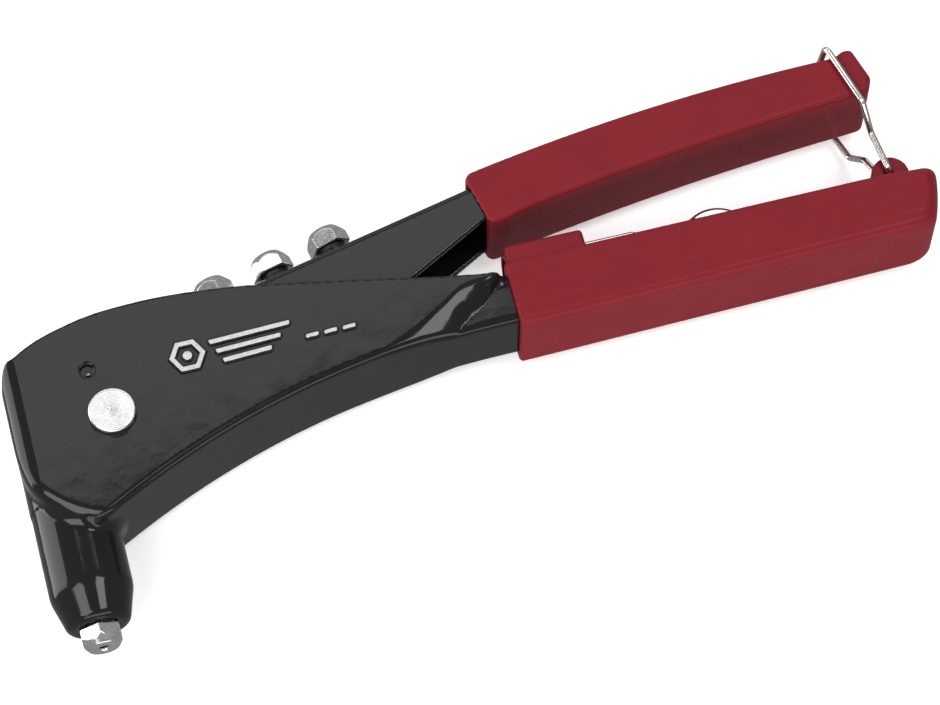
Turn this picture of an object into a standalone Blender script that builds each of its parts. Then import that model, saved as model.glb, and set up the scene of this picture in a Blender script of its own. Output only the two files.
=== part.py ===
"""Hand riveter lying on its side, handles closed and held by their wire clip.

Design frame, in millimetres: the lever's pivot is at the origin, X runs along the fixed
handle to its end, Y points from the fixed handle to the lever, and Z is the pivot's axis.
OFFSET then moves the whole tool, so that its base is at z = 0 under the middle of its box.
"""

import math

import bmesh
import bpy
import numpy as np

MM = 0.001
GAP = 0.3  # left between pieces that touch

# Pressed-steel body: head, barrel and fixed handle
WALL = 1.8
HEAD_LEFT = -25.0
HEAD_HALF = 13.0
HEAD_CORNER = 5.0
HANDLE_HALF = 10.0
HANDLE_TOP = 13.2
BODY_END = 206.0
HANDLE_START = 101.0
UNDERSIDE_HANDLE = 1.1
UNDERSIDE_DROP = 25.0
UNDERSIDE_POWER = 2.18
HANDLE_RISE = 0.9
UNDERSIDE_SPAN = 104.5
HEAD_FLOOR = -19.0
HEAD_ARC_CENTRE = (1.0, 1.0)
HEAD_ARC_R = 28.6
STEP_IN_START = 63.0
# The sides step in below this curve, over a height that shrinks towards the grip
STEP_IN_CURVE = ((50.0, -7.3), (60.0, -2.9), (70.5, 1.9), (76.6, 4.7), (85.0, 9.6), (89.8, 12.4),
                 (93.7, 13.4), (96.5, 14.0), (101.0, 18.0), (106.0, 30.0), (112.0, 30.0),
                 (206.0, 30.0))
STEP_IN_HEIGHT = ((50.0, 8.0), (90.0, 8.0), (94.2, 6.5), (97.8, 4.3), (101.0, 3.0), (105.0, 3.0),
                  (206.0, 3.0))
TOP_EDGE = ((-25.0, 14.0), (-23.6, 18.0), (-20.0, 20.6), (-5.0, 26.2), (12.0, 27.8), (30.0, 26.7),
            (62.0, 21.0), (90.0, 15.3), (101.0, 13.2), (130.0, 13.2), (170.0, 13.2), (206.0, 13.2))

# Barrel and the pulling parts in it, along the axis x = BARREL_X
BARREL_X = -14.5
BARREL_R = 10.2
BORE_R = 8.3
BARREL_END = -48.2
BARREL_FLOOR = -44.6
NOSE_THREAD_R = 4.2
CASE_R = 7.4
CASE_LOW = -31.5
CASE_TOP = -0.1
CASE_BORE_R = 5.6
CASE_MOUTH_R = 3.4
CONE_LOW = -29.5
CONE_TOP = -20.0
MANDREL_R = 2.2
SPOOL_LOW = -5.0
SPOOL_NECK_R = 4.3
JAW_COUNT = 3
JAW_LOW = -28.9
JAW_HIGH = -21.0
JAW_BORE_R = 1.3
JAW_GAP = 12.0  # degrees left between neighbouring jaws
PUSHER_LOW = -20.6
PUSHER_TOP = -14.6
PUSHER_R = 5.1
PUSHER_BORE_R = 2.0
PUSHER_SPIGOT_R = 3.1
JAW_SPRING_LOW = -15.1
JAW_SPRING_TOP = -5.9
JAW_SPRING_R = 4.2
JAW_SPRING_WIRE_R = 0.45
JAW_SPRING_TURNS = 5

# Pivot
PIN_R = 3.6
PIN_HEAD_R = 5.75
PIN_HEAD_TOP = 15.2
PIN_TAIL = -15.9
PIN_HOLE_R = PIN_R + GAP
PIN_CHAMFER = 0.4
CIRCLIP_GROOVE = (-15.2, -14.3)
CIRCLIP_GROOVE_R = 3.0
CIRCLIP_R = 5.0
WASHER_R = 6.2
WASHER_THICK = 0.8
BUSH_R = 5.2
BUSH_HALF = 7.7
OPENING_SPRING_WIRE_R = 0.6
OPENING_SPRING_TURNS = 4
OPENING_SPRING_PITCH = 1.5
OPENING_SPRING_TOP = 3.4
OPENING_SPRING_LEG_END = (24.5, 18.4)
ANCHOR_HOLE = (-3.6, 12.5)
ANCHOR_HOLE_R = 1.65

# Lever
LEVER_HALF = 10.0
LEVER_INNER = 8.0
WEB = 2.0
WEB_START = (24.0, 23.5)
LEVER_SLOPE = math.radians(12.3)
LEVER_END = 196.0
BOSS_R = 9.0
ARM_REACH = 14.5
ARM_LIFT = math.radians(25.0)
ARM_TIP_R = 2.6
ARM_TIP_INNER = 4.9

# Lever grip
LEVER_GRIP_HALF = 11.3
LEVER_GRIP_START = 100.5
LEVER_GRIP_END = 203.6
GRIP_SKIN = 1.3
BUMP_START = 197.0
BUMP_TOP = 53.2

# Fixed handle's grip
BODY_GRIP_HALF = 12.0
BODY_GRIP_START = 101.6
BODY_GRIP_END = 213.0
BODY_GRIP_TOP = 16.6
BODY_GRIP_TOP_RISE = 0.3
BODY_GRIP_LOW = -1.1
BODY_GRIP_LOW_RISE = 2.1
BODY_GRIP_EDGE = 2.8
SLOT_HALF = 7.2
SLOT_END = 194.0
HOOD_START = 102.6
HOOD_END = 122.6
HOOD_Y = 15.0
HOOD_R = 8.7
HOOD_HALF = 11.2
HOOD_SHOULDER = 21.3

# Wire clip, whose feet turn in the lobe
WIRE_R = 0.85
CLIP_PIVOT = (202.8, 21.4)
LOBE_CENTRE = (203.2, 20.8)
LOBE_R = 4.8
LOBE_HALF = 2.2
CLIP_LEG_Z = 12.45
CLIP_FOOT_Z = 3.4
# The loose clip sits askew, so its near and far legs differ: neck, shoulder and top of each
CLIP_NEAR_LEG = ((201.1, 31.9, 4.9), (199.7, 37.2, CLIP_LEG_Z), (195.2, 54.2, CLIP_LEG_Z))
CLIP_FAR_LEG = ((199.9, 29.6, -5.6), (197.9, 34.6, -CLIP_LEG_Z), (191.6, 53.4, -CLIP_LEG_Z))

# Nosepieces
HEX_FLAT = 9.5
NOSE_LENGTH = 5.0
SPARE_LENGTH = 8.9
SPARE_FIRST = (32.4, 25.6)
SPARE_NECK = 3.6
SPARE_NECK_R = 4.0
SPARE_TURNS = (20.0, 3.0, 12.0)
SPARE_PITCH = 15.7
SPARE_BORES = (1.35, 1.75, 2.1)
SPARE_SHANK_R = 3.0
FITTED_BORE = 1.15

# Flat wrench stored in the fixed handle
WRENCH_HALF = 1.25
RING_CENTRE = (156.5, 13.9)
RING_R = 9.5
RING_FLAT = 10.5
SHANK_TOP = 21.8
SHANK_LOW = 13.7
SHANK_LEFT = 104.5
SHANK_HOLE_R = 1.8

# The box of the tool at rest, for its origin
BOX_X = (HEAD_LEFT, BODY_GRIP_END)
NOSE_TIP = BARREL_END - GAP - NOSE_LENGTH
BOX_Y = (NOSE_TIP, CLIP_NEAR_LEG[-1][1] + WIRE_R)
OFFSET = np.array((-sum(BOX_X) / 2, -sum(BOX_Y) / 2, -PIN_TAIL))

PAINT = ("black_paint", (0.012, 0.011, 0.012), 0.18, 0.0)
STEEL = ("bright_steel", (0.62, 0.62, 0.63), 0.25, 1.0)
DARK_STEEL = ("oiled_steel", (0.20, 0.20, 0.21), 0.35, 1.0)
NICKEL = ("nickel_plate", (0.72, 0.70, 0.67), 0.18, 1.0)
PLASTIC = ("red_plastic", (0.26, 0.016, 0.028), 0.45, 0.0)


def material(kind):
    name, colour, roughness, metallic = kind
    found = bpy.data.materials.get(name)
    if found:
        return found
    made = bpy.data.materials.new(name)
    made.use_nodes = True
    shader = made.node_tree.nodes["Principled BSDF"]
    shader.inputs["Base Color"].default_value = (*colour, 1.0)
    shader.inputs["Roughness"].default_value = roughness
    shader.inputs["Metallic"].default_value = metallic
    return made


def axis_empty(name, point):
    """An empty on a joint's axis, which the moving pieces are parented to."""
    empty = bpy.data.objects.new(name, None)
    empty.location = (np.array(point) + OFFSET) * MM
    empty.empty_display_size = 0.01
    bpy.context.scene.collection.objects.link(empty)
    return empty, np.array(point, float)


def link(name, data, kind, holder):
    obj = bpy.data.objects.new(name, data)
    obj.data.materials.append(material(kind))
    bpy.context.scene.collection.objects.link(obj)
    if holder:
        obj.parent = holder[0]
    else:
        obj.location = OFFSET * MM
    return obj


def solid(name, points, faces, kind=PAINT, holder=None):
    """A mesh object from points in the design frame."""
    base = holder[1] if holder else np.zeros(3)
    mesh = bpy.data.meshes.new(name)
    mesh.from_pydata([tuple((np.array(p) - base) * MM) for p in points], [], faces)
    shape = bmesh.new()
    shape.from_mesh(mesh)
    bmesh.ops.recalc_face_normals(shape, faces=shape.faces)
    shape.to_mesh(mesh)
    shape.free()
    mesh.shade_smooth()
    mesh.set_sharp_from_angle(angle=math.radians(35))
    return link(name, mesh, kind, holder)


def skin(name, rings, kind=PAINT, holder=None, closed=False):
    """A solid through rings of equally many points; its two ends are capped unless it is closed."""
    count = len(rings[0])
    points = [p for ring in rings for p in ring]
    pairs = len(rings) if closed else len(rings) - 1
    faces = []
    for i in range(pairs):
        j = (i + 1) % len(rings)
        for k in range(count):
            n = (k + 1) % count
            faces.append((i * count + k, i * count + n, j * count + n, j * count + k))
    if not closed:
        faces.append(tuple(range(count))[::-1])
        faces.append(tuple(range((len(rings) - 1) * count, len(rings) * count)))
    return solid(name, points, faces, kind, holder)


def prism(name, outline, low, high, kind=PAINT, holder=None):
    """An outline in X and Y, extruded along Z."""
    return skin(name, [[(x, y, z) for x, y in outline] for z in (low, high)], kind, holder)


def turned(name, profile, centre, along, kind=PAINT, holder=None, steps=32, sweep=(0.0, 360.0)):
    """A closed profile of (radius, distance) turned round the line through centre along a direction."""
    along = np.array(along, float) / np.linalg.norm(along)
    side = np.cross(along, (0, 0, 1) if abs(along[2]) < 0.9 else (1, 0, 0))
    side /= np.linalg.norm(side)
    other = np.cross(along, side)
    whole = sweep[1] - sweep[0] >= 360.0
    angles = np.radians(np.linspace(*sweep, steps + 1))
    if whole:
        angles = angles[:-1]
    rings = []
    for a in angles:
        out = side * math.cos(a) + other * math.sin(a)
        rings.append([np.array(centre) + out * r + along * s for r, s in profile])
    return skin(name, rings, kind, holder, closed=whole)


def stack(name, profile, centre, along, kind=PAINT, holder=None, steps=32):
    """A solid of circles, each (radius, distance), one after another along a direction."""
    along = np.array(along, float) / np.linalg.norm(along)
    side = np.cross(along, (0, 0, 1) if abs(along[2]) < 0.9 else (1, 0, 0))
    side /= np.linalg.norm(side)
    other = np.cross(along, side)
    turn = [2 * math.pi * k / steps for k in range(steps)]
    rings = []
    for radius, s in profile:
        rings.append([np.array(centre) + along * s
                      + (side * math.cos(a) + other * math.sin(a)) * radius for a in turn])
    return skin(name, rings, kind, holder)


def rod(name, radius, centre, along, low, high, kind=PAINT, holder=None, steps=32):
    """A plain cylinder from low to high along a direction."""
    return stack(name, [(radius, low), (radius, high)], centre, along, kind, holder, steps)


def combine(target, tool, operation="DIFFERENCE"):
    """Cuts or joins with another object, which is then a hidden helper."""
    change = target.modifiers.new(tool.name, "BOOLEAN")
    change.operation = operation
    change.object = tool
    change.solver = "EXACT"
    tool.hide_render = True
    tool.display_type = "WIRE"


def arc(centre, radius, start, end, steps):
    """Points on an arc in X and Y; the angles are in degrees."""
    turn = np.radians(np.linspace(start, end, steps + 1))
    return [(centre[0] + radius * math.cos(a), centre[1] + radius * math.sin(a)) for a in turn]


def spline(points, x):
    """Height at x of a smooth curve through a few points, each span a cubic."""
    xs, ys = np.array(points, float).T
    slopes = np.gradient(ys, xs)
    i = int(np.clip(np.searchsorted(xs, x) - 1, 0, len(xs) - 2))
    width = xs[i + 1] - xs[i]
    t = min(max((x - xs[i]) / width, 0.0), 1.0)
    return ((2 * t**3 - 3 * t**2 + 1) * ys[i] + (t**3 - 2 * t**2 + t) * width * slopes[i]
            + (3 * t**2 - 2 * t**3) * ys[i + 1] + (t**3 - t**2) * width * slopes[i + 1])


def smooth_step(t):
    t = min(max(t, 0.0), 1.0)
    return t * t * (3 - 2 * t)


def section(x, low, high, half, low_corner, high_corner, shear=0.0, cheek_steps=4, arc_steps=4):
    """A rounded rectangle across X. half is a width, or a function of x and y that gives one."""
    middle = (low + high) / 2
    side = [(1.0, -low_corner + low_corner * math.sin(a), low_corner * (1 - math.cos(a)))
            for a in np.radians(np.linspace(0, 90, arc_steps + 1))]
    right = [(inset, low + up) for _, inset, up in side]
    cheek = np.linspace(low + low_corner, high - high_corner, cheek_steps + 1)[1:-1]
    right += [(0.0, y) for y in cheek]
    for a in np.radians(np.linspace(0, 90, arc_steps + 1)):
        right.append((-high_corner * (1 - math.cos(a)), high - high_corner + high_corner * math.sin(a)))
    ring = []
    for sign in (1, -1):
        for inset, y in right if sign > 0 else reversed(right):
            px = x - shear * (y - middle)
            width = half(px, y) if callable(half) else half
            ring.append((px, y, sign * (width + inset)))
    return ring


# Body

def underside(x):
    """Outer height of the body's underside."""
    reach = max(HANDLE_START - x, 0.0) / UNDERSIDE_SPAN
    rise = HANDLE_RISE * max(x - HANDLE_START, 0.0) / (BODY_END - HANDLE_START)
    return UNDERSIDE_HANDLE + rise - UNDERSIDE_DROP * reach**UNDERSIDE_POWER


def body_half(x, y):
    """Outer half width: the head's, stepping in below a slanting curve to the handle's."""
    step = 0.0
    if x > STEP_IN_START:
        step = smooth_step((spline(STEP_IN_CURVE, x) - y) / spline(STEP_IN_HEIGHT, x))
    half = HEAD_HALF + (HANDLE_HALF - HEAD_HALF) * step
    corner = HEAD_CORNER - (x - HEAD_LEFT)
    if corner > 0:
        half -= HEAD_CORNER - math.sqrt(max(HEAD_CORNER**2 - corner**2, 0.0))
    return half


def head_form(name, radius):
    """All that lies inside the head's lower left arc, which is tangent to its left side."""
    x, y = HEAD_ARC_CENTRE
    far = BODY_END + 20
    outline = arc(HEAD_ARC_CENTRE, radius, 180, 270, 24)
    outline += [(far, y - radius), (far, 60.0), (x - radius, 60.0)]
    return prism(name, outline, -HEAD_HALF - 2, HEAD_HALF + 2)


def body_stations():
    rounded = [HEAD_LEFT + HEAD_CORNER * (1 - math.cos(a)) for a in np.radians((0, 20, 40, 60, 90))]
    head = [-15.3, -10.7, -6.1, -3.5, 0.7, 5.6, 10.0, 16.0, 23.0, 31.0, 40.0, 50.0, 58.0]
    step = list(np.linspace(STEP_IN_START, HANDLE_START + 3, 16))
    return rounded + head + step + [150.0, BODY_END]


def make_body():
    rings = []
    for x in body_stations():
        rings.append(section(x, underside(x), spline(TOP_EDGE, x), body_half, 2.2, 0.3, cheek_steps=6))
    body = skin("body", rings)
    combine(body, head_form("head_arc", HEAD_ARC_R), "INTERSECT")

    profile = [(BARREL_R, -9.0), (BARREL_R, -36.0), (9.95, -39.5), (9.3, -43.0), (8.4, -45.8), (7.3, -47.5),
               (5.9, BARREL_END)]
    barrel = stack("barrel_form", profile, (BARREL_X, 0, 0), (0, 1, 0), steps=40)
    combine(body, barrel, "UNION")

    inner = []
    left = HEAD_LEFT + WALL
    for x in [left, left + 1.0, left + 3.2] + [s for s in body_stations() if s > -18] + [BODY_END + 4]:
        inside = min(max(x, left + 0.02), BODY_END)
        squeeze = 1.2 if x == left else 0.35 if x == left + 1.0 else 0.0

        def half(px, y, s=squeeze, head=x < -19):
            return (HEAD_HALF if head else body_half(px, y)) - WALL - s

        floor = max(underside(inside) + WALL, HEAD_FLOOR)
        inner.append(section(x, floor, spline(TOP_EDGE, inside) + 12, half, 1.0, 0.2, cheek_steps=6))
    cavity = skin("body_cavity", inner)
    combine(cavity, head_form("cavity_arc", HEAD_ARC_R - WALL), "INTERSECT")
    combine(body, cavity)

    combine(body, rod("barrel_bore", BORE_R, (BARREL_X, 0, 0), (0, 1, 0), BARREL_FLOOR, -12.0, steps=40))
    combine(body, rod("nose_hole", NOSE_THREAD_R + 0.1, (BARREL_X, 0, 0), (0, 1, 0), BARREL_END - 5,
                      BARREL_FLOOR + 5, steps=24))
    combine(body, rod("body_pin_hole", PIN_HOLE_R, (0, 0, 0), (0, 0, 1), -20, 20))
    combine(body, rod("anchor_cut", ANCHOR_HOLE_R, (*ANCHOR_HOLE, 0), (0, 0, 1), 5, 20, steps=16))


# Nosepieces

def nosepiece(name, base, along, length, bore, shank, tail, turn, neck=0.0, holder=None):
    """A hexagonal nosepiece on its seat.

    base is the seat's centre, along points to the tip, turn is the hexagon's angle in degrees and
    neck the height of the round part under the hexagon.
    """
    flat = HEX_FLAT
    corner = flat / math.sqrt(3)
    profile = [(bore, length), (flat * 0.41, length), (flat * 0.455, length - 0.7),
               (corner * 0.99, length - 2.4), (corner + 0.2, length - 3.0), (corner + 0.2, neck)]
    profile += [(SPARE_NECK_R, neck), (SPARE_NECK_R, 0.0)] if neck > 0 else []
    profile += [(shank, 0.0), (shank, -4.0)]
    profile += [(2.9, -4.0), (2.9, -tail)] if tail > 4.0 else []
    profile += [(bore, -max(tail, 4.0))]
    piece = turned(name, profile, base, along, STEEL, holder, steps=36)
    along = np.array(along, float) / np.linalg.norm(along)
    side = np.cross(along, (0, 0, 1))
    rings = []
    for s in (-tail - 3, length + 2):
        turns = [math.radians(60 * k + turn) for k in range(6)]
        rings.append([np.array(base) + along * s
                      + (side * math.cos(a) + np.array((0, 0, 1)) * math.sin(a)) * corner for a in turns])
    combine(piece, skin(name + "_hexagon", rings), "INTERSECT")
    return piece


def make_nosepieces(lever_axis):
    seat = BARREL_END - GAP
    nosepiece("nosepiece_fitted", (BARREL_X, seat, 0), (0, -1, 0), NOSE_LENGTH, FITTED_BORE,
              NOSE_THREAD_R - 0.2, 7.0, 30.0)
    out = (-math.sin(LEVER_SLOPE), math.cos(LEVER_SLOPE), 0)
    for k, (bore, turn) in enumerate(zip(SPARE_BORES, SPARE_TURNS)):
        base = (SPARE_FIRST[0] + SPARE_PITCH * k * math.cos(LEVER_SLOPE),
                SPARE_FIRST[1] + SPARE_PITCH * k * math.sin(LEVER_SLOPE), 0)
        nosepiece(f"spare_nosepiece_{k + 1}", base, out, SPARE_LENGTH, bore, SPARE_SHANK_R, 4.0,
                  turn, SPARE_NECK, lever_axis)


# Lever

def web_top(x):
    """Height of the lever's outer web before the grip."""
    return WEB_START[1] + (x - WEB_START[0]) * math.tan(LEVER_SLOPE)


def grip_top(x):
    t = (x - 99.0) / 97.0
    return 42.9 + 18.0 * t - 9.0 * t * t


def grip_low(x):
    t = (x - 102.0) / 99.0
    return 28.4 + 17.94 * t - 6.14 * t * t


def lever_top(x):
    """The web's height outside the grip, easing to a skin's depth under the grip's top."""
    under = grip_top(x) - GRIP_SKIN - GAP
    inside = smooth_step((x - LEVER_GRIP_START) / 14.0)
    return web_top(x) + (under - web_top(x)) * inside


def tail_stations():
    return np.linspace(98.0, LEVER_END, 14)


def make_lever(lever_axis):
    tip = (-ARM_REACH * math.cos(ARM_LIFT), ARM_REACH * math.sin(ARM_LIFT))
    tail_low = [(x, grip_low(x) + GRIP_SKIN + GAP) for x in tail_stations() if x > 103]
    tail_top = [(x, lever_top(x)) for x in tail_stations()]
    outline = arc(tip, ARM_TIP_R + 0.9, 75, 245, 8)
    outline += arc((0, 0), BOSS_R, 212, 300, 6)
    outline += [(60.0, 11.0), (79.5, 19.0), (100.0, grip_low(102.0) + GRIP_SKIN + GAP)] + tail_low
    outline += tail_top[::-1]
    outline += [WEB_START, (14.0, 11.6)]
    outline += arc((0, 0), BOSS_R, 58, 125, 5)
    lever = prism("lever", outline, -LEVER_HALF, LEVER_HALF, PAINT, lever_axis)

    below = [(x, lever_top(x) - WEB) for x in tail_stations()]
    left = (WEB_START[0] - 0.01, WEB_START[1] - WEB)
    cavity = [(-30.0, -25.0), (LEVER_END + 3, -25.0), (LEVER_END + 3, below[-1][1])] + below[::-1]
    cavity += [left, (left[0], 60.0), (-30.0, 60.0)]
    combine(lever, prism("lever_cavity", cavity, -LEVER_INNER, LEVER_INNER))
    combine(lever, rod("lever_pin_hole", PIN_HOLE_R, (0, 0, 0), (0, 0, 1), -20, 20))
    for sign, side in ((1, "near"), (-1, "far")):
        pad = rod(f"arm_pad_{side}", ARM_TIP_R, (*tip, 0), (0, 0, sign), ARM_TIP_INNER, LEVER_HALF - 0.5,
                  steps=20)
        combine(lever, pad, "UNION")
    out = (-math.sin(LEVER_SLOPE), math.cos(LEVER_SLOPE), 0)
    for k in range(len(SPARE_BORES)):
        base = (SPARE_FIRST[0] + SPARE_PITCH * k * math.cos(LEVER_SLOPE),
                SPARE_FIRST[1] + SPARE_PITCH * k * math.sin(LEVER_SLOPE), 0)
        combine(lever, rod(f"spare_hole_{k + 1}", SPARE_SHANK_R + GAP, base, out, -6, 4, steps=20))


def make_lever_grip(lever_axis):
    rings = []
    spots = list(np.linspace(LEVER_GRIP_START, BUMP_START, 13))
    for x in spots + [BUMP_START + 0.4, 200.0, 202.0, 203.1, LEVER_GRIP_END]:
        slope = math.radians(14.5 - 11.5 * (x - LEVER_GRIP_START) / (LEVER_GRIP_END - LEVER_GRIP_START))
        on_bump = x > BUMP_START
        high = BUMP_TOP - 0.6 * max(x - 201.0, 0) if on_bump else grip_top(x)
        inset = 0.9 if x in (spots[0], LEVER_GRIP_END) else 0.35 if x > 203 else 0.0
        low = grip_low(min(x, 201.0)) + (0.8 if x > 202 else 0.0)
        rings.append(section(x, low + inset, high - inset, LEVER_GRIP_HALF - inset, 1.5, 2.2,
                             shear=math.tan(slope) * (0.4 if x > 196 else 1.0)))
    grip = skin("lever_grip", rings, PLASTIC, lever_axis)
    pocket = []
    for x in [90.0] + list(tail_stations()) + [LEVER_END + GAP]:
        pocket.append(section(x, grip_low(x) + GRIP_SKIN, lever_top(x) + GAP, LEVER_HALF + GAP, 0.2, 0.2,
                              arc_steps=1))
    combine(grip, skin("lever_grip_pocket", pocket))


# Fixed handle's grip

def make_body_grip():
    rings = []
    # each station: x, then how far the sides, the top and the underside draw in
    for x, side, top, under in ((BODY_GRIP_START, 0.8, 0.8, 0.8), (102.6, 0, 0, 0), (150, 0, 0, 0),
                                (198, 0, 0, 0), (206.3, 0, 0, 0.3), (209.6, 0.4, 0.1, 2.0),
                                (211.8, 1.3, 0.7, 4.4), (BODY_GRIP_END, 3.2, 2.4, 8.0)):
        along = (x - BODY_GRIP_START) / (BODY_GRIP_END - BODY_GRIP_START)
        low = BODY_GRIP_LOW + BODY_GRIP_LOW_RISE * along + under
        high = BODY_GRIP_TOP + BODY_GRIP_TOP_RISE * along - top
        rings.append(section(x, low, high, BODY_GRIP_HALF - side, BODY_GRIP_EDGE, 2.0,
                             cheek_steps=2))
    grip = skin("body_grip", rings, PLASTIC)

    hood_ends = ((HOOD_START, 0.6), (HOOD_START + 0.8, 0), (HOOD_END - 1.6, 0), (HOOD_END - 0.4, 0.8),
                 (HOOD_END, 1.6))
    hood = []
    for x, inset in hood_ends:
        half, shoulder, crown = HOOD_HALF - inset, HOOD_SHOULDER - inset, HOOD_Y + HOOD_R - inset
        side = [(half, 6.0), (half, shoulder - 1.7), (half - 0.5, shoulder - 0.5), (half - 1.7, shoulder),
                (half / 2, shoulder + 1.2)]
        over = side + [(0.0, crown)] + [(-z, y) for z, y in side[::-1]]
        hood.append([(x, y, z) for z, y in over])
    combine(grip, skin("hood_form", hood), "UNION")

    lobe = arc(LOBE_CENTRE, LOBE_R, -20, 200, 18)
    lobe = [(LOBE_CENTRE[0] + 8.0, 12.0)] + lobe + [(LOBE_CENTRE[0] - 6.5, 12.0)]
    combine(grip, prism("lobe_form", lobe, -LOBE_HALF, LOBE_HALF), "UNION")

    pocket = []
    for x in (90.0, HANDLE_START, BODY_END + GAP):
        low, half = underside(x) - GAP, HANDLE_HALF + GAP
        high = HANDLE_TOP + GAP
        pocket.append([(x, low, -half), (x, low, half), (x, high, half), (x, high, -half)])
    combine(grip, skin("channel_pocket", pocket))
    across = ((-SLOT_HALF, 8.0), (SLOT_HALF, 8.0), (SLOT_HALF, 40.0), (-SLOT_HALF, 40.0))
    slot = [[(x, y, z) for z, y in across] for x in (HOOD_END - 0.5, SLOT_END)]
    combine(grip, skin("slot_cut", slot))
    arch = arc((0, HOOD_Y), SLOT_HALF, 0, 180, 14)
    under_hood = [[(x, y, z) for z, y in arch] + [(x, 8.0, -SLOT_HALF), (x, 8.0, SLOT_HALF)]
                  for x in (95.0, HOOD_END + 2.0)]
    combine(grip, skin("under_hood_cut", under_hood))
    combine(grip, rod("lobe_hole", WIRE_R + GAP, (*CLIP_PIVOT, 0), (0, 0, 1), -8, 8, steps=14))


# Wire clip

def rounded_route(corners, radius, steps=4):
    """The corners' route in space with each inner corner replaced by an arc."""
    corners = [np.array(c, float) for c in corners]
    route = [corners[0]]
    for before, here, after in zip(corners, corners[1:], corners[2:]):
        back = (before - here) / np.linalg.norm(before - here)
        ahead = (after - here) / np.linalg.norm(after - here)
        half = math.acos(np.clip(np.dot(back, ahead), -1, 1)) / 2
        cut = min(radius / math.tan(half), 0.45 * np.linalg.norm(before - here),
                  0.45 * np.linalg.norm(after - here))
        bend = cut * math.tan(half)
        inward = (back + ahead) / np.linalg.norm(back + ahead)
        centre = here + inward * bend / math.sin(half)
        start, end = here + back * cut - centre, here + ahead * cut - centre
        sweep = math.pi - 2 * half
        for k in range(steps + 1):
            t = k / steps
            mix = (math.sin((1 - t) * sweep) * start + math.sin(t * sweep) * end) / math.sin(sweep)
            route.append(centre + mix)
    return route + [corners[-1]]


def wire(name, route, radius, kind, holder=None, resolution=2):
    base = holder[1] if holder else np.zeros(3)
    curve = bpy.data.curves.new(name, "CURVE")
    curve.dimensions = "3D"
    curve.bevel_depth = radius * MM
    curve.bevel_resolution = resolution
    curve.use_fill_caps = True
    line = curve.splines.new("POLY")
    line.points.add(len(route) - 1)
    for point, place in zip(line.points, route):
        point.co = (*((np.array(place) - base) * MM), 1.0)
    return link(name, curve, kind, holder)


def make_wire_clip(clip_axis):
    near = [(*CLIP_PIVOT, 0.7), (*CLIP_PIVOT, CLIP_FOOT_Z), *CLIP_NEAR_LEG]
    far = [(*CLIP_PIVOT, -0.7), (*CLIP_PIVOT, -CLIP_FOOT_Z), *CLIP_FAR_LEG]
    wire("wire_clip", rounded_route(near + far[::-1], 1.6), WIRE_R, NICKEL, clip_axis)


# Pivot

def make_pivot():
    head_low = HEAD_HALF + GAP
    groove_low, groove_top = CIRCLIP_GROOVE
    profile = [(PIN_R - PIN_CHAMFER, PIN_TAIL), (PIN_R, PIN_TAIL + PIN_CHAMFER), (PIN_R, groove_low),
               (CIRCLIP_GROOVE_R, groove_low), (CIRCLIP_GROOVE_R, groove_top), (PIN_R, groove_top),
               (PIN_R, head_low), (PIN_HEAD_R, head_low), (PIN_HEAD_R, PIN_HEAD_TOP - PIN_CHAMFER),
               (PIN_HEAD_R - PIN_CHAMFER, PIN_HEAD_TOP)]
    stack("pivot_pin", profile, (0, 0, 0), (0, 0, 1), STEEL, steps=40)
    turned_ring("pivot_washer", PIN_HOLE_R, WASHER_R, -head_low - WASHER_THICK, -head_low, STEEL)
    turned_ring("pivot_circlip", CIRCLIP_GROOVE_R + 0.2, CIRCLIP_R, groove_low + 0.15, groove_top - 0.15,
                DARK_STEEL, sweep=(35.0, 325.0))
    turned_ring("pivot_bush", PIN_HOLE_R, BUSH_R, -BUSH_HALF, BUSH_HALF, DARK_STEEL)


def turned_ring(name, inner, outer, low, high, kind, sweep=(0.0, 360.0)):
    """A plain ring round the pivot's axis."""
    profile = [(inner, low), (outer, low), (outer, high), (inner, high)]
    turned(name, profile, (0, 0, 0), (0, 0, 1), kind, steps=28, sweep=sweep)


def make_opening_spring():
    """Torsion spring on the bush: one leg in the anchor hole, one under the lever's web."""
    radius, leg_end, per_turn = BUSH_R + GAP + 0.65, OPENING_SPRING_LEG_END, 16
    start = math.atan2(ANCHOR_HOLE[1], ANCHOR_HOLE[0]) + math.acos(radius / math.hypot(*ANCHOR_HOLE))
    end = math.atan2(leg_end[1], leg_end[0]) - math.acos(radius / math.hypot(*leg_end))
    end += 2 * math.pi * (OPENING_SPRING_TURNS + 1)
    steps = round((end - start) / (2 * math.pi) * per_turn)
    coil = []
    for k in range(steps + 1):
        a = start + (end - start) * k / steps
        z = OPENING_SPRING_TOP - OPENING_SPRING_PITCH * (a - start) / (2 * math.pi)
        coil.append((radius * math.cos(a), radius * math.sin(a), z))
    anchor_leg = [(*ANCHOR_HOLE, HEAD_HALF - 0.6), (*ANCHOR_HOLE, OPENING_SPRING_TOP + 1.2), coil[0]]
    route = rounded_route(anchor_leg, 1.2, 3)[:-1] + coil + [(*leg_end, coil[-1][2] - 0.2)]
    wire("opening_spring", route, OPENING_SPRING_WIRE_R, DARK_STEEL, resolution=1)


# Pulling parts

def cone_radius(y):
    return CASE_MOUTH_R + (CASE_BORE_R - CASE_MOUTH_R) * (y - CONE_LOW) / (CONE_TOP - CONE_LOW)


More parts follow.
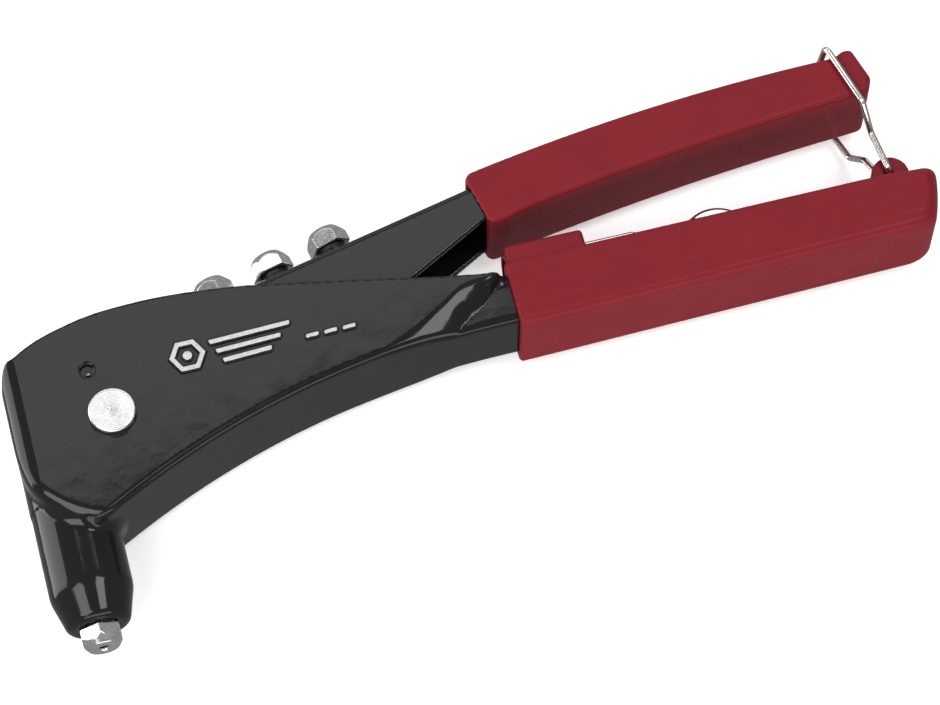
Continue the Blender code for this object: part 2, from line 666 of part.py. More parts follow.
def make_jaws(case_axis, jaw_axis):
    centre = (BARREL_X, 0, 0)
    up = (0, 1, 0)
    case = [(CASE_MOUTH_R, CASE_LOW), (CASE_R - 0.8, CASE_LOW), (CASE_R, CASE_LOW + 0.8), (CASE_R, CASE_TOP),
            (CASE_BORE_R, CASE_TOP), (CASE_BORE_R, CONE_TOP), (CASE_MOUTH_R, CONE_LOW)]
    turned("jaw_case", case, centre, up, DARK_STEEL, case_axis, steps=32)

    tip_y = ARM_REACH * math.sin(ARM_LIFT)
    groove = ARM_TIP_R + 0.35
    low, high, top = tip_y - groove, tip_y + groove, tip_y + groove + 3.2
    spool = [(MANDREL_R, SPOOL_LOW), (CASE_BORE_R - GAP, SPOOL_LOW), (CASE_BORE_R - GAP, CASE_TOP + GAP),
             (CASE_R, CASE_TOP + GAP), (CASE_R, low), (SPOOL_NECK_R, low), (SPOOL_NECK_R, high),
             (CASE_R, high), (CASE_R, top - 0.6), (CASE_R - 0.6, top), (MANDREL_R, top)]
    turned("jaw_case_head", spool, centre, up, STEEL, case_axis, steps=32)

    jaw = [(JAW_BORE_R, JAW_LOW), (cone_radius(JAW_LOW) - GAP, JAW_LOW),
           (cone_radius(JAW_HIGH) - GAP, JAW_HIGH), (JAW_BORE_R + 0.6, JAW_HIGH),
           (JAW_BORE_R, JAW_HIGH - 1.5)]
    for k in range(JAW_COUNT):
        middle = 360.0 / JAW_COUNT * k + 30.0
        half = (360.0 / JAW_COUNT - JAW_GAP) / 2
        sweep = (middle - half, middle + half)
        turned(f"jaw_{k + 1}", jaw, centre, up, STEEL, jaw_axis, steps=9, sweep=sweep)

    step_y = PUSHER_TOP - 1.4
    pusher = [(PUSHER_BORE_R, PUSHER_LOW), (PUSHER_SPIGOT_R + 0.1, PUSHER_LOW), (PUSHER_R, PUSHER_LOW + 2.2),
              (PUSHER_R, step_y), (PUSHER_SPIGOT_R, step_y), (PUSHER_SPIGOT_R, PUSHER_TOP),
              (PUSHER_BORE_R, PUSHER_TOP)]
    turned("jaw_pusher", pusher, centre, up, STEEL, jaw_axis, steps=24)

    per_turn = 14
    steps = JAW_SPRING_TURNS * per_turn
    coil = []
    for k in range(steps + 1):
        a = 2 * math.pi * k / per_turn
        y = JAW_SPRING_LOW + (JAW_SPRING_TOP - JAW_SPRING_LOW) * k / steps
        coil.append((BARREL_X + JAW_SPRING_R * math.cos(a), y, JAW_SPRING_R * math.sin(a)))
    wire("jaw_spring", coil, JAW_SPRING_WIRE_R, DARK_STEEL, case_axis, resolution=1)


# Wrench

def make_wrench(wrench_axis):
    cx, cy = RING_CENTRE
    shank_y, round_end = (SHANK_TOP + SHANK_LOW) / 2, (SHANK_TOP - SHANK_LOW) / 2
    outline = [(136.0, SHANK_TOP), (141.0, 19.9)]
    outline += arc(RING_CENTRE, RING_R, 145, -160, 24)
    outline += [(141.0, SHANK_LOW)]
    outline += arc((SHANK_LEFT + round_end, shank_y), round_end, 270, 90, 12)
    wrench = prism("wrench", outline, -WRENCH_HALF, WRENCH_HALF, NICKEL, wrench_axis)
    hexagon = arc((cx, cy), RING_FLAT / math.sqrt(3), 0, 300, 5)
    combine(wrench, prism("ring_hexagon", hexagon, -5, 5))
    hole = (SHANK_LEFT + 4.5, shank_y, 0)
    combine(wrench, rod("wrench_hole", SHANK_HOLE_R, hole, (0, 0, 1), -5, 5, steps=14))


def make_all():
    lever_axis = axis_empty("lever_axis", (0, 0, 0))
    clip_axis = axis_empty("clip_axis", (*CLIP_PIVOT, 0))
    case_axis = axis_empty("case_axis", (BARREL_X, 0, 0))
    jaw_axis = axis_empty("jaw_axis", (BARREL_X, CONE_TOP, 0))
    wrench_axis = axis_empty("wrench_axis", (*RING_CENTRE, 0))
    make_body()
    make_body_grip()
    make_lever(lever_axis)
    make_lever_grip(lever_axis)
    make_nosepieces(lever_axis)
    make_wire_clip(clip_axis)
    make_pivot()
    make_opening_spring()
    make_jaws(case_axis, jaw_axis)
    make_wrench(wrench_axis)


for old in list(bpy.data.objects):
    bpy.data.objects.remove(old)
make_all()
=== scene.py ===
"""The looks of a hand riveter lying on its side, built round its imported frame.

Shapes are written in the tool's own frame, in millimetres: the lever's pivot is at the origin,
X runs along the fixed handle, Y points from the fixed handle to the lever, and Z is the pivot's
axis. Moulded and pressed pieces are distance fields, negative inside, whose surface is meshed.
"""

import itertools
import math

import bmesh
import bpy
import numpy as np
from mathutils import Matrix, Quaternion, Vector


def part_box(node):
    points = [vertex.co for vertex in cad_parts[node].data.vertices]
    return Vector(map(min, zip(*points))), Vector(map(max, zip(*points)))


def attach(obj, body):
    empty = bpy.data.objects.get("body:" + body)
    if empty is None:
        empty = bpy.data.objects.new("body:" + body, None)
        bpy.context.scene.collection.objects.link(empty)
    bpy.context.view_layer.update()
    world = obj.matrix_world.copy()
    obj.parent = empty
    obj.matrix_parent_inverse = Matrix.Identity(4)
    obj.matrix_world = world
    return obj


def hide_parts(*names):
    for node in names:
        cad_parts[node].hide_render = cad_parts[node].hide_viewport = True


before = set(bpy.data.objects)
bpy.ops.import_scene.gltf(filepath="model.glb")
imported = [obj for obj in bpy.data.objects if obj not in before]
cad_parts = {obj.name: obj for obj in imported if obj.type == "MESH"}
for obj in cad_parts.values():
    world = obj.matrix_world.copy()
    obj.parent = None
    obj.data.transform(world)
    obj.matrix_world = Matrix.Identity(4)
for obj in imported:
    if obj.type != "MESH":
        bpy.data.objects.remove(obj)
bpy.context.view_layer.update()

MM = 0.001
PIN_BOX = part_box("pivot_pin")
BODY_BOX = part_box("body")
ORIGIN = np.array(((PIN_BOX[0].x + PIN_BOX[1].x) / 2, (PIN_BOX[0].y + PIN_BOX[1].y) / 2,
                   (BODY_BOX[0].z + BODY_BOX[1].z) / 2))


def extent(node):
    """A CAD node's lowest and highest corners in the tool's own frame."""
    low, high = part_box(node)
    return (np.array(low) - ORIGIN) / MM, (np.array(high) - ORIGIN) / MM


BODY_LOW, BODY_HIGH = extent("body")
GRIP_LOW, GRIP_HIGH = extent("body_grip")
LEVER_GRIP_HIGH = extent("lever_grip")[1]
PIN_LOW, PIN_HIGH = extent("pivot_pin")
NOSE_LOW, NOSE_HIGH = extent("nosepiece_fitted")

# Pressed-steel body
WALL = 1.8
HEAD_HALF = BODY_HIGH[2]
HEAD_LEFT = BODY_LOW[0]
HEAD_EDGE = 5.0
HEAD_FLOOR = -19.0
HANDLE_HALF = 10.0
HANDLE_START = 101.0
HANDLE_TOP = 13.2
HANDLE_RISE = 0.9
BODY_END = BODY_HIGH[0]
TOP_EDGE = ((-25.0, 14.0), (-23.6, 18.0), (-20.0, 20.6), (-5.0, 26.2), (12.0, 27.8), (30.0, 26.7),
            (62.0, 21.0), (90.0, 15.3), (96.5, 14.2), (99.8, 14.0), (102.0, 13.2), (104.0, 13.2),
            (130.0, 13.2), (206.0, 13.2))
# From the handle's start to the barrel the underside drops by a power of the distance.
UNDERSIDE = 1.1
UNDERSIDE_DROP = 25.0
UNDERSIDE_POWER = 2.18
UNDERSIDE_SPAN = 104.5
UNDERSIDE_EDGE = 1.8
# The head's width steps in to the handle's from this curve down, over this height.
STEP_CURVE = ((-30.0, -50.0), (10.0, -26.0), (30.0, -16.0), (50.0, -7.3), (60.0, -2.9), (70.5, 1.9),
              (76.6, 4.7), (85.0, 9.6), (89.8, 12.4), (93.7, 13.4), (96.5, 14.0), (101.0, 18.0),
              (106.0, 30.0), (112.0, 30.0), (206.0, 30.0))
STEP_HEIGHT = ((50.0, 8.0), (90.0, 8.0), (94.2, 6.5), (97.8, 4.3), (101.0, 3.0), (105.0, 3.0), (206.0, 3.0))
STEP_ROUND = 0.45
RIM_START, RIM_END = 86.0, 101.5
RIM_DEPTH = 3.6
# The head's lower left corner is rounded about this point.
CORNER_CENTRE = (1.0, 1.0)
CORNER_R = 28.6
CORNER_EDGE = 3.0

# Barrel
BARREL_X = (NOSE_LOW[0] + NOSE_HIGH[0]) / 2
BARREL_R = 10.2
BARREL_END = BODY_LOW[1]
BARREL_TOP = -2.0
TAPER_START = -39.2
BARREL_TAPER = 0.29
COLLAR = 0.2
COLLAR_END = -17.2
BARREL_FLOOR = -44.6
BORE_R = 8.3
THREAD_R = 4.2
BARREL_LINE = (BARREL_X, 0, 0), (0, 1, 0)

# Nosepieces
HEX_FLAT = 9.5
HEX_ROUND = 0.572 * HEX_FLAT
CONE_LENGTH, CONE_SLOPE = 2.4, 0.688
FOOT_SLOPE = 1.2
THREAD_PITCH, THREAD_DEPTH = 0.9, 0.16
TAIL_R = 2.9
FITTED_TAIL, SPARE_TAIL = 7.0, 4.0
# Thickness of the near-black lining that paints shade inside the nosepieces' bores.
SHADE_LINING_THICK = 0.15
FITTED_BORE = 1.15
SPARE_FIRST = (32.4, 25.6)
SPARE_PITCH = 15.7
SPARE_LENGTH = 8.9
SPARE_NECK = 3.6
SPARE_NECK_R = 4.0
SPARE_SHANK_R = 3.0
SPARE_HOLE_R = 3.3
SPARE_BORES = (1.35, 1.75, 2.1)
SPARE_TURNS = (20.0, 3.0, 12.0)

# Pivot
PIVOT_LINE = (0, 0, 0), (0, 0, 1)
PIN_R = 3.6
PIN_NECK_R = 3.0
PIN_HOLE_R = 3.9
PIN_HEAD_R = 5.75
GROOVE_PITCH, GROOVE_DEPTH = 0.42, 0.022
BUSH_R = 5.2
BUSH_HALF = 7.7
ANCHOR_HOLE = (-3.6, 12.5)
ANCHOR_R = 1.65
SPRING_WIRE_R = 0.6

# Lever
LEVER_HALF = 10.0
LEVER_INNER = 8.0
WEB = 2.0
WEB_START = (24.0, 23.5)
LEVER_SLOPE = math.radians(12.3)
LEVER_END = 196.0
BOSS_R = 9.0
ARM_REACH = 14.5
ARM_ANGLE = math.radians(25)
ARM_TIP = (-ARM_REACH * math.cos(ARM_ANGLE), ARM_REACH * math.sin(ARM_ANGLE))
ARM_TIP_R = 2.6

# Grips
GAP = 0.3
GRIP_SKIN = 1.3
GRIP_START = GRIP_LOW[0]
GRIP_TOP = 16.6
GRIP_BOTTOM, GRIP_BOTTOM_RISE = -1.1, 2.1
HOOD_START, HOOD_END = 102.6, 122.6
HOOD_Y, HOOD_R = 15.0, 8.7
HOOD_HALF, HOOD_SHOULDER = 11.2, 21.3
SLOT_HALF, SLOT_END, SLOT_FLOOR = 7.2, 194.0, 8.0
SEAM_Y, SEAM_HALF, SEAM_DEPTH = 4.6, 0.18, 0.06

# Wire clip and wrench
CLIP_PIVOT = (202.8, 21.4)
LOBE_CENTRE = (203.2, 20.8)
LOBE_R, LOBE_HALF = 4.8, 2.2
WIRE_R = 0.83
RING_CENTRE = (156.5, 13.9)
RING_R = 9.5
RING_FLAT = 10.5
WRENCH_THICK = 2.5

# Pulling parts
CASE_R = 7.4
JAW_SPRING_R, JAW_SPRING_TURNS = 4.2, 5
JAW_SPRING_END, JAW_SPRING_LENGTH = -15.1, 9.2

# Emblem
EMBLEM_CENTRE = (20.8, 10.2)
EMBLEM_HALF = 3.9
EMBLEM_LINE = 1.15
STRIPES = ((26.4, 47.0), (27.6, 44.2), (28.8, 41.4))
STRIPE_Y, STRIPE_PITCH = 12.9, 2.75
DASH_START, DASH_PITCH = 50.0, 4.6

# Stage, in metres
TOOL_MIDDLE = 0.016
CEILING = 0.929
FLOOR_HALF = 3.0

BLACK, RED, NICKEL = "black_paint", "red_plastic", "nickel_wire"
BRIGHT, DARK = "bright_steel", "oiled_steel"


# Distance fields. x, y and z are arrays that broadcast together.

def cap(a, b, r):
    """Inside both, with the edge rounded to r."""
    return np.minimum(np.maximum(a, b), -r) + np.hypot(np.maximum(a + r, 0), np.maximum(b + r, 0))


def join(a, b, r):
    """Inside either, with a fillet of r."""
    return np.maximum(np.minimum(a, b), r) - np.hypot(np.maximum(r - a, 0), np.maximum(r - b, 0))


def cut(a, b, r):
    """Inside a and outside b, with the edge rounded to r."""
    return cap(a, -b, r)


def disc(x, y, centre, r):
    return np.hypot(x - centre[0], y - centre[1]) - r


def between(v, low, high):
    return np.maximum(low - v, v - high)


def hexagon(u, v, turn, half):
    """A hexagon half its width across flats, with one flat facing turn degrees."""
    shape = -1e9
    for a in np.radians((turn, turn + 60, turn + 120)):
        shape = np.maximum(shape, np.abs(u * math.cos(a) + v * math.sin(a)) - half)
    return shape


def ease(t):
    """Rises smoothly from 0 to 1 as t does."""
    t = np.clip(t, 0.0, 1.0)
    return t * t * (3 - 2 * t)


def curve(points, x):
    """Height at x of a smooth curve through a few points."""
    xs, ys = np.array(points, float).T
    slopes = np.gradient(ys, xs)
    i = np.clip(np.searchsorted(xs, x) - 1, 0, len(xs) - 2)
    width = xs[i + 1] - xs[i]
    t = np.clip((x - xs[i]) / width, 0.0, 1.0)
    return ((2 * t**3 - 3 * t**2 + 1) * ys[i] + (t**3 - 2 * t**2 + t) * width * slopes[i]
            + (3 * t**2 - 2 * t**3) * ys[i + 1] + (t**3 - t**2) * width * slopes[i + 1])


def above(line, x, y):
    """Distance above a line given as a function of x."""
    step = 0.05
    slope = (line(x + step) - line(x - step)) / (2 * step)
    return (y - line(x)) / np.sqrt(1 + slope * slope)


def outline(points):
    """Signed distance from a closed outline in X and Y."""
    a = np.array(points, float)
    b = np.roll(a, -1, axis=0)

    def field(x, y):
        x, y = np.broadcast_arrays(x, y)
        nearest = np.full(x.shape, 1e9)
        inside = np.zeros(x.shape, bool)
        for (ax, ay), (bx, by) in zip(a, b):
            ex, ey = bx - ax, by - ay
            px, py = x - ax, y - ay
            t = np.clip((px * ex + py * ey) / (ex * ex + ey * ey), 0, 1)
            nearest = np.minimum(nearest, (px - ex * t) ** 2 + (py - ey * t) ** 2)
            if ay != by:
                crosses = (ay > y) != (by > y)
                inside ^= crosses & (x < ax + (y - ay) * ex / ey)
        return np.where(inside, -1.0, 1.0) * np.sqrt(nearest)

    return field


def arc(centre, radius, start, end, steps):
    turn = np.radians(np.linspace(start, end, steps + 1))
    return [(centre[0] + radius * math.cos(a), centre[1] + radius * math.sin(a)) for a in turn]


def corner_arc(before, here, after, radius, share, steps):
    """The arc that rounds a corner, using up at most a share of its shorter side."""
    back, ahead = before - here, after - here
    room = share * min(np.linalg.norm(back), np.linalg.norm(ahead))
    back, ahead = back / np.linalg.norm(back), ahead / np.linalg.norm(ahead)
    half = math.acos(np.clip(back @ ahead, -1, 1)) / 2
    reach = min(radius / math.tan(half), room)
    bend = reach * math.tan(half)
    middle = here + (back + ahead) / np.linalg.norm(back + ahead) * bend / math.sin(half)
    first, last = here + back * reach - middle, here + ahead * reach - middle
    sweep = math.pi - 2 * half
    made = []
    for t in np.linspace(0, 1, steps + 1):
        mix = (math.sin((1 - t) * sweep) * first + math.sin(t * sweep) * last) / math.sin(sweep)
        made.append(tuple(middle + mix))
    return made


def rounded(corners, steps=5):
    """A closed outline from (x, y, radius) corners, each corner replaced by an arc."""
    spots = [np.array(c[:2], float) for c in corners]
    made = []
    for k, (here, corner) in enumerate(zip(spots, corners)):
        if corner[2] > 0:
            made += corner_arc(spots[k - 1], here, spots[(k + 1) % len(spots)], corner[2], 0.48, steps)
        else:
            made.append(tuple(here))
    return made


def bent_route(corners, radius, steps=7):
    """An open route in space, each inner corner replaced by an arc."""
    spots = [np.array(c, float) for c in corners]
    route = [spots[0]]
    for before, here, after in zip(spots, spots[1:], spots[2:]):
        route += corner_arc(before, here, after, radius, 0.45, steps)
    return route + [spots[-1]]


# Meshes

def place(points):
    return np.asarray(points, float) * MM + ORIGIN


def add_piece(mesh, surface, body, slot, *nodes):
    """A piece, named like its mesh, that rides on a body and may stand for CAD nodes."""
    mesh.materials.append(surface)
    piece = bpy.data.objects.new(mesh.name, mesh)
    bpy.context.scene.collection.objects.link(piece)
    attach(piece, body)
    if nodes:
        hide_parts(*nodes)
    return piece


def steepest(field, points):
    """The field's gradient at each point."""
    step = 0.02
    slope = np.empty_like(points)
    for k in range(3):
        shift = np.zeros(3)
        shift[k] = step
        slope[:, k] = (field(*(points + shift).T) - field(*(points - shift).T)) / (2 * step)
    return slope


def crossed_cells(values, axes):
    """One point for each cell of the lattice that the surface crosses, and the cells' numbers."""
    inside = values < 0
    shape = [len(a) - 1 for a in axes]
    count = np.zeros(shape, np.int8)
    for corner in itertools.product((0, 1), repeat=3):
        window = tuple(slice(c, c + n) for c, n in zip(corner, shape))
        count += inside[window]
    crossed = (count > 0) & (count < 8)
    number = np.full(shape, -1, np.int64)
    number[crossed] = np.arange(crossed.sum())
    cells = np.argwhere(crossed)
    points = np.zeros((len(cells), 3))
    hits = np.zeros(len(cells))
    for axis in range(3):
        along = np.eye(3, dtype=int)[axis]
        for corner in itertools.product((0, 1), repeat=3):
            if corner[axis]:
                continue
            start = cells + np.array(corner)
            end = start + along
            v, w = values[tuple(start.T)], values[tuple(end.T)]
            hit = (v < 0) != (w < 0)
            t = np.where(hit, v / np.where(hit, v - w, 1), 0)
            at = np.stack([axes[k][start[:, k]] + (axes[k][end[:, k]] - axes[k][start[:, k]]) * t
                           for k in range(3)], 1)
            points[hit] += at[hit]
            hits[hit] += 1
    return points / hits[:, None], number, inside


def crossed_quads(number, inside):
    """A quad round each lattice edge that the surface crosses."""
    quads = []
    for axis in range(3):
        u, v = (axis + 1) % 3, (axis + 2) % 3
        low = np.take(inside, range(inside.shape[axis] - 1), axis)
        high = np.take(inside, range(1, inside.shape[axis]), axis)
        change = low != high
        for side in (u, v):
            change = np.moveaxis(change, side, 0)
            change[0] = change[-1] = False
            change = np.moveaxis(change, 0, side)
        p = np.argwhere(change)
        eu, ev = np.eye(3, dtype=int)[u], np.eye(3, dtype=int)[v]
        ring = [number[tuple((p - eu * i - ev * j).T)] for i, j in ((0, 0), (1, 0), (1, 1), (0, 1))]
        quad = np.stack(ring, 1)
        outward = low[tuple(p.T)]
        quad[~outward] = quad[~outward][:, ::-1]
        quads.append(quad)
    return np.concatenate(quads)


def settle(field, points, reach, passes=3):
    """Moves points onto the surface."""
    for _ in range(passes):
        slope = steepest(field, points)
        size = np.maximum((slope * slope).sum(1), 0.05)
        shift = (field(*points.T) / size)[:, None] * slope
        length = np.linalg.norm(shift, axis=1, keepdims=True)
        points = points - shift * np.minimum(1, reach / np.maximum(length, 1e-9))
    return points


def meshed(name, field, low, high, step, relax=2):
    """The surface of a field as a mesh of even quads, with the field's own normals."""
    axes = [np.arange(a - step * 1.37, b + step * 2.2, step) for a, b in zip(low, high)]
    values = field(*np.meshgrid(*axes, indexing="ij", sparse=True))
    points, number, inside = crossed_cells(values, axes)
    quads = crossed_quads(number, inside)
    points = settle(field, points, step)
    tails, heads = quads.ravel(), np.roll(quads, -1, axis=1).ravel()
    near = np.bincount(tails, minlength=len(points)) + np.bincount(heads, minlength=len(points))
    for _ in range(relax):
        mean = np.stack([np.bincount(tails, points[heads, k], len(points))
                         + np.bincount(heads, points[tails, k], len(points)) for k in range(3)], 1)
        points = points + 0.5 * (mean / np.maximum(near, 1)[:, None] - points)
        points = settle(field, points, step * 0.5, 2)
    mesh = bpy.data.meshes.new(name)
    mesh.from_pydata(place(points).tolist(), [], quads.tolist())
    mesh.shade_smooth()
    slope = steepest(field, points)
    slope /= np.maximum(np.linalg.norm(slope, axis=1, keepdims=True), 1e-9)
    mesh.normals_split_custom_set_from_vertices(slope.tolist())
    return mesh


def turned(name, profile, centre, along, steps=96, sweep=(0.0, 360.0), sharp=32):
    """A closed (radius, distance) profile turned round a line."""
    along = np.array(along, float)
    side = np.cross(along, (0, 0, 1) if abs(along[2]) < 0.9 else (1, 0, 0))
    side /= np.linalg.norm(side)
    other = np.cross(along, side)
    whole = sweep[1] - sweep[0] >= 360
    angles = np.radians(np.linspace(*sweep, steps + 1))[:steps if whole else None]
    points, faces, n = [], [], len(profile)
    for a in angles:
        out = side * math.cos(a) + other * math.sin(a)
        points += [np.array(centre) + out * r + along * s for r, s in profile]
    rings = len(angles)
    for i in range(rings if whole else rings - 1):
        j = (i + 1) % rings
        for k in range(n):
            m = (k + 1) % n
            faces.append((i * n + k, i * n + m, j * n + m, j * n + k))
    if not whole:
        faces += [tuple(range(n))[::-1], tuple(range((rings - 1) * n, rings * n))]
    return checked_mesh(name, points, faces, sharp)


def checked_mesh(name, points, faces, sharp):
    mesh = bpy.data.meshes.new(name)
    mesh.from_pydata(place(points).tolist(), [], faces)
    shape = bmesh.new()
    shape.from_mesh(mesh)
    bmesh.ops.remove_doubles(shape, verts=shape.verts, dist=1e-7)
    bmesh.ops.recalc_face_normals(shape, faces=shape.faces)
    shape.to_mesh(mesh)
    shape.free()
    mesh.shade_smooth()
    mesh.set_sharp_from_angle(angle=math.radians(sharp))
    return mesh


def tube(name, route, radius, around=16):
    """A round wire along a route, with rounded ends."""
    route = np.array(route, float)
    ahead = np.gradient(route, axis=0)
    ahead /= np.linalg.norm(ahead, axis=1, keepdims=True)
    side = np.cross(ahead[0], (0.31, 0.17, 0.94))
    rings = []
    for k, (p, t) in enumerate(zip(route, ahead)):
        side = side - t * (side @ t)
        side /= np.linalg.norm(side)
        other = np.cross(t, side)
        rings.append([p + radius * (side * math.cos(a) + other * math.sin(a))
                      for a in np.linspace(0, 2 * math.pi, around, endpoint=False)])
    for end, sign in ((0, -1), (-1, 1)):
        middle = route[end]
        inner = [[middle + (q - middle) * s + ahead[end] * sign * radius * 0.5 * (1 - s)
                  for q in rings[end]] for s in (0.85, 0.4)]
        rings = rings + inner if sign > 0 else inner[::-1] + rings
    points = [p for ring in rings for p in ring]
    faces = []
    for i in range(len(rings) - 1):
        for k in range(around):
            m = (k + 1) % around
            faces.append((i * around + k, i * around + m, (i + 1) * around + m, (i + 1) * around + k))
    faces += [tuple(range(around))[::-1], tuple(range((len(rings) - 1) * around, len(rings) * around))]
    return checked_mesh(name, points, faces, 60)


# Materials

class Surface:
    """A material whose colour, roughness and bump come from noise in the piece's own space."""

    def __init__(self, name, metallic=0.0, ior=1.5):
        self.material = bpy.data.materials.new(name)
        self.material.use_nodes = True
        self.tree = self.material.node_tree
        self.shader = self.tree.nodes["Principled BSDF"]
        self.shader.inputs["Metallic"].default_value = metallic
        self.shader.inputs["IOR"].default_value = ior
        self.spot = self.tree.nodes.new("ShaderNodeTexCoord").outputs["Object"]

    def link(self, source, target):
        self.tree.links.new(source, target)

    def texture(self, kind, size):
        """A texture node with features about size millimetres across."""
        scale = self.tree.nodes.new("ShaderNodeMapping")
        scale.inputs["Scale"].default_value = [1 / (size * MM)] * 3
        self.link(self.spot, scale.inputs["Vector"])
        made = self.tree.nodes.new(kind)
        made.inputs["Scale"].default_value = 1.0
        self.link(scale.outputs["Vector"], made.inputs["Vector"])
        return made

    def noise(self, size, detail=2.0, rough=0.5):
        made = self.texture("ShaderNodeTexNoise", size)
        made.inputs["Detail"].default_value = detail
        made.inputs["Roughness"].default_value = rough
        return made.outputs["Fac"]

    def cells(self, size):
        return self.texture("ShaderNodeTexVoronoi", size).outputs["Distance"]

    def span(self, source, low, high, to_low, to_high):
        made = self.tree.nodes.new("ShaderNodeMapRange")
        for key, value in (("From Min", low), ("From Max", high), ("To Min", to_low), ("To Max", to_high)):
            made.inputs[key].default_value = value
        self.link(source, made.inputs["Value"])
        return made.outputs["Result"]

    def colours(self, source, stops):
        ramp = self.tree.nodes.new("ShaderNodeValToRGB")
        points = ramp.color_ramp.elements
        while len(points) < len(stops):
            points.new(0.5)
        for point, (at, colour) in zip(points, stops):
            point.position = at
            point.color = (*colour, 1.0)
        self.link(source, ramp.inputs["Fac"])
        return ramp.outputs["Color"]

    def blend(self, factor, a, b, kind="MIX"):
        mix = self.tree.nodes.new("ShaderNodeMix")
        mix.data_type = "RGBA"
        mix.blend_type = kind
        for value, socket in ((factor, mix.inputs[0]), (a, mix.inputs[6]), (b, mix.inputs[7])):
            if isinstance(value, bpy.types.NodeSocket):
                self.link(value, socket)
            else:
                socket.default_value = value
        return mix.outputs[2]

    def bump(self, source, depth, under=None):
        """depth is in millimetres."""
        made = self.tree.nodes.new("ShaderNodeBump")
        made.inputs["Strength"].default_value = 1.0
        made.inputs["Distance"].default_value = depth * MM
        self.link(source, made.inputs["Height"])
        if under is not None:
            self.link(under, made.inputs["Normal"])
        return made.outputs["Normal"]

    def wear(self, colour, roughness, normal=None):
        for value, key in ((colour, "Base Color"), (roughness, "Roughness"), (normal, "Normal")):
            if value is not None:
                self.link(value, self.shader.inputs[key])
        return self.material


def make_black_paint():
    s = Surface("gloss_black_enamel", ior=1.36)
    patches = s.noise(9.0, 3)
    colour = s.colours(patches, ((0.3, (0.0072, 0.0065, 0.0076)), (0.7, (0.0100, 0.0091, 0.0104))))
    dust = s.span(s.cells(5.0), 0.0, 0.035, 1.0, 0.0)
    colour = s.blend(dust, colour, (0.05, 0.048, 0.048, 1))
    roughness = s.span(s.noise(4.0, 4), 0.3, 0.7, 0.07, 0.12)
    wave = s.bump(s.noise(7.0, 1), 0.05)
    peel = s.bump(s.noise(2.2, 2), 0.012, under=wave)
    return s.wear(colour, roughness, s.bump(s.noise(0.5, 2), 0.0015, under=peel))


def make_red_plastic():
    s = Surface("moulded_red_plastic", ior=1.29)
    grain = s.noise(0.32, 3, rough=0.65)
    cloud = s.noise(14.0, 3)
    colour = s.colours(cloud, ((0.25, (0.178, 0.0046, 0.0118)), (0.75, (0.210, 0.0064, 0.0154))))
    speck = s.colours(grain, ((0.32, (0.80, 0.80, 0.80)), (0.72, (1.12, 1.12, 1.12))))
    colour = s.blend(1.0, colour, speck, "MULTIPLY")
    dust = s.span(s.cells(7.0), 0.0, 0.022, 1.0, 0.0)
    colour = s.blend(dust, colour, (0.45, 0.16, 0.17, 1))
    roughness = s.span(s.noise(1.1, 4), 0.3, 0.7, 0.40, 0.52)
    soft = s.bump(s.noise(1.4, 2), 0.012)
    return s.wear(colour, roughness, s.bump(grain, 0.016, under=soft))


def make_bright_steel():
    s = Surface("bright_plated_steel", metallic=1.0)
    cloud = s.noise(1.6, 3)
    colour = s.colours(cloud, ((0.3, (0.66, 0.65, 0.66)), (0.7, (0.86, 0.86, 0.87))))
    pits = s.span(s.noise(0.28, 2), 0.60, 0.70, 0.0, 0.7)
    colour = s.blend(pits, colour, (0.20, 0.19, 0.20, 1))
    roughness = s.span(s.noise(0.45, 3), 0.3, 0.7, 0.10, 0.26)
    return s.wear(colour, roughness, s.bump(s.noise(0.4, 2), 0.010))


def make_turned_face():
    s = Surface("turned_pin_steel", metallic=1.0)
    colour = s.colours(s.noise(0.9, 3), ((0.3, (0.72, 0.70, 0.70)), (0.7, (0.86, 0.84, 0.84))))
    roughness = s.span(s.noise(0.3, 3), 0.3, 0.7, 0.22, 0.36)
    return s.wear(colour, roughness, s.bump(s.noise(0.22, 2), 0.004))


def make_dark_steel():
    s = Surface("oiled_dark_steel", metallic=1.0)
    colour = s.colours(s.noise(2.0, 4), ((0.3, (0.10, 0.098, 0.10)), (0.7, (0.24, 0.235, 0.23))))
    roughness = s.span(s.noise(0.8, 3), 0.3, 0.7, 0.24, 0.42)
    return s.wear(colour, roughness, s.bump(s.noise(0.35, 2), 0.008))


def make_nickel():
    s = Surface("nickel_plate", metallic=1.0)
    colour = s.colours(s.noise(1.2, 3), ((0.3, (0.60, 0.56, 0.53)), (0.7, (0.80, 0.77, 0.74))))
    roughness = s.span(s.noise(0.5, 3), 0.3, 0.7, 0.13, 0.24)
    return s.wear(colour, roughness, s.bump(s.noise(0.5, 2), 0.004))


# A near-black, rough lining for the nosepieces' bores: painted shade that darkens the inside of the holes.
def make_bore_shade_lining():
    s = Surface("blackened_bore")
    colour = s.colours(s.noise(1.0, 3), ((0.3, (0.010, 0.009, 0.009)), (0.7, (0.022, 0.020, 0.019))))
    return s.wear(colour, s.span(s.noise(0.4, 2), 0.3, 0.7, 0.6, 0.8))


def make_silver_print():
    s = Surface("silver_print", metallic=0.65)
    colour = s.colours(s.noise(0.7, 3), ((0.3, (0.52, 0.50, 0.49)), (0.7, (0.70, 0.68, 0.67))))
    roughness = s.span(s.noise(0.4, 3), 0.3, 0.7, 0.38, 0.55)
    return s.wear(colour, roughness, s.bump(s.noise(0.35, 2), 0.02))


# Body

def body_half(x, y):
    """The head's half width, stepping in below a slanting curve to the handle's.

    A narrow rim along the top edge keeps the full width almost to the grip.
    """
    down = np.clip((curve(STEP_CURVE, x) - y) / curve(STEP_HEIGHT, x), 0.0, 1.0)
    step = STEP_ROUND * ease(down) + (1 - STEP_ROUND) * down**1.8
    rim = ease((y - top_edge(x) + RIM_DEPTH) / 2.6)
    rim = rim * ease((x - RIM_START) / 5.0) * ease((RIM_END - x) / 6.0)
    return HEAD_HALF - (HEAD_HALF - HANDLE_HALF) * step * (1 - rim)


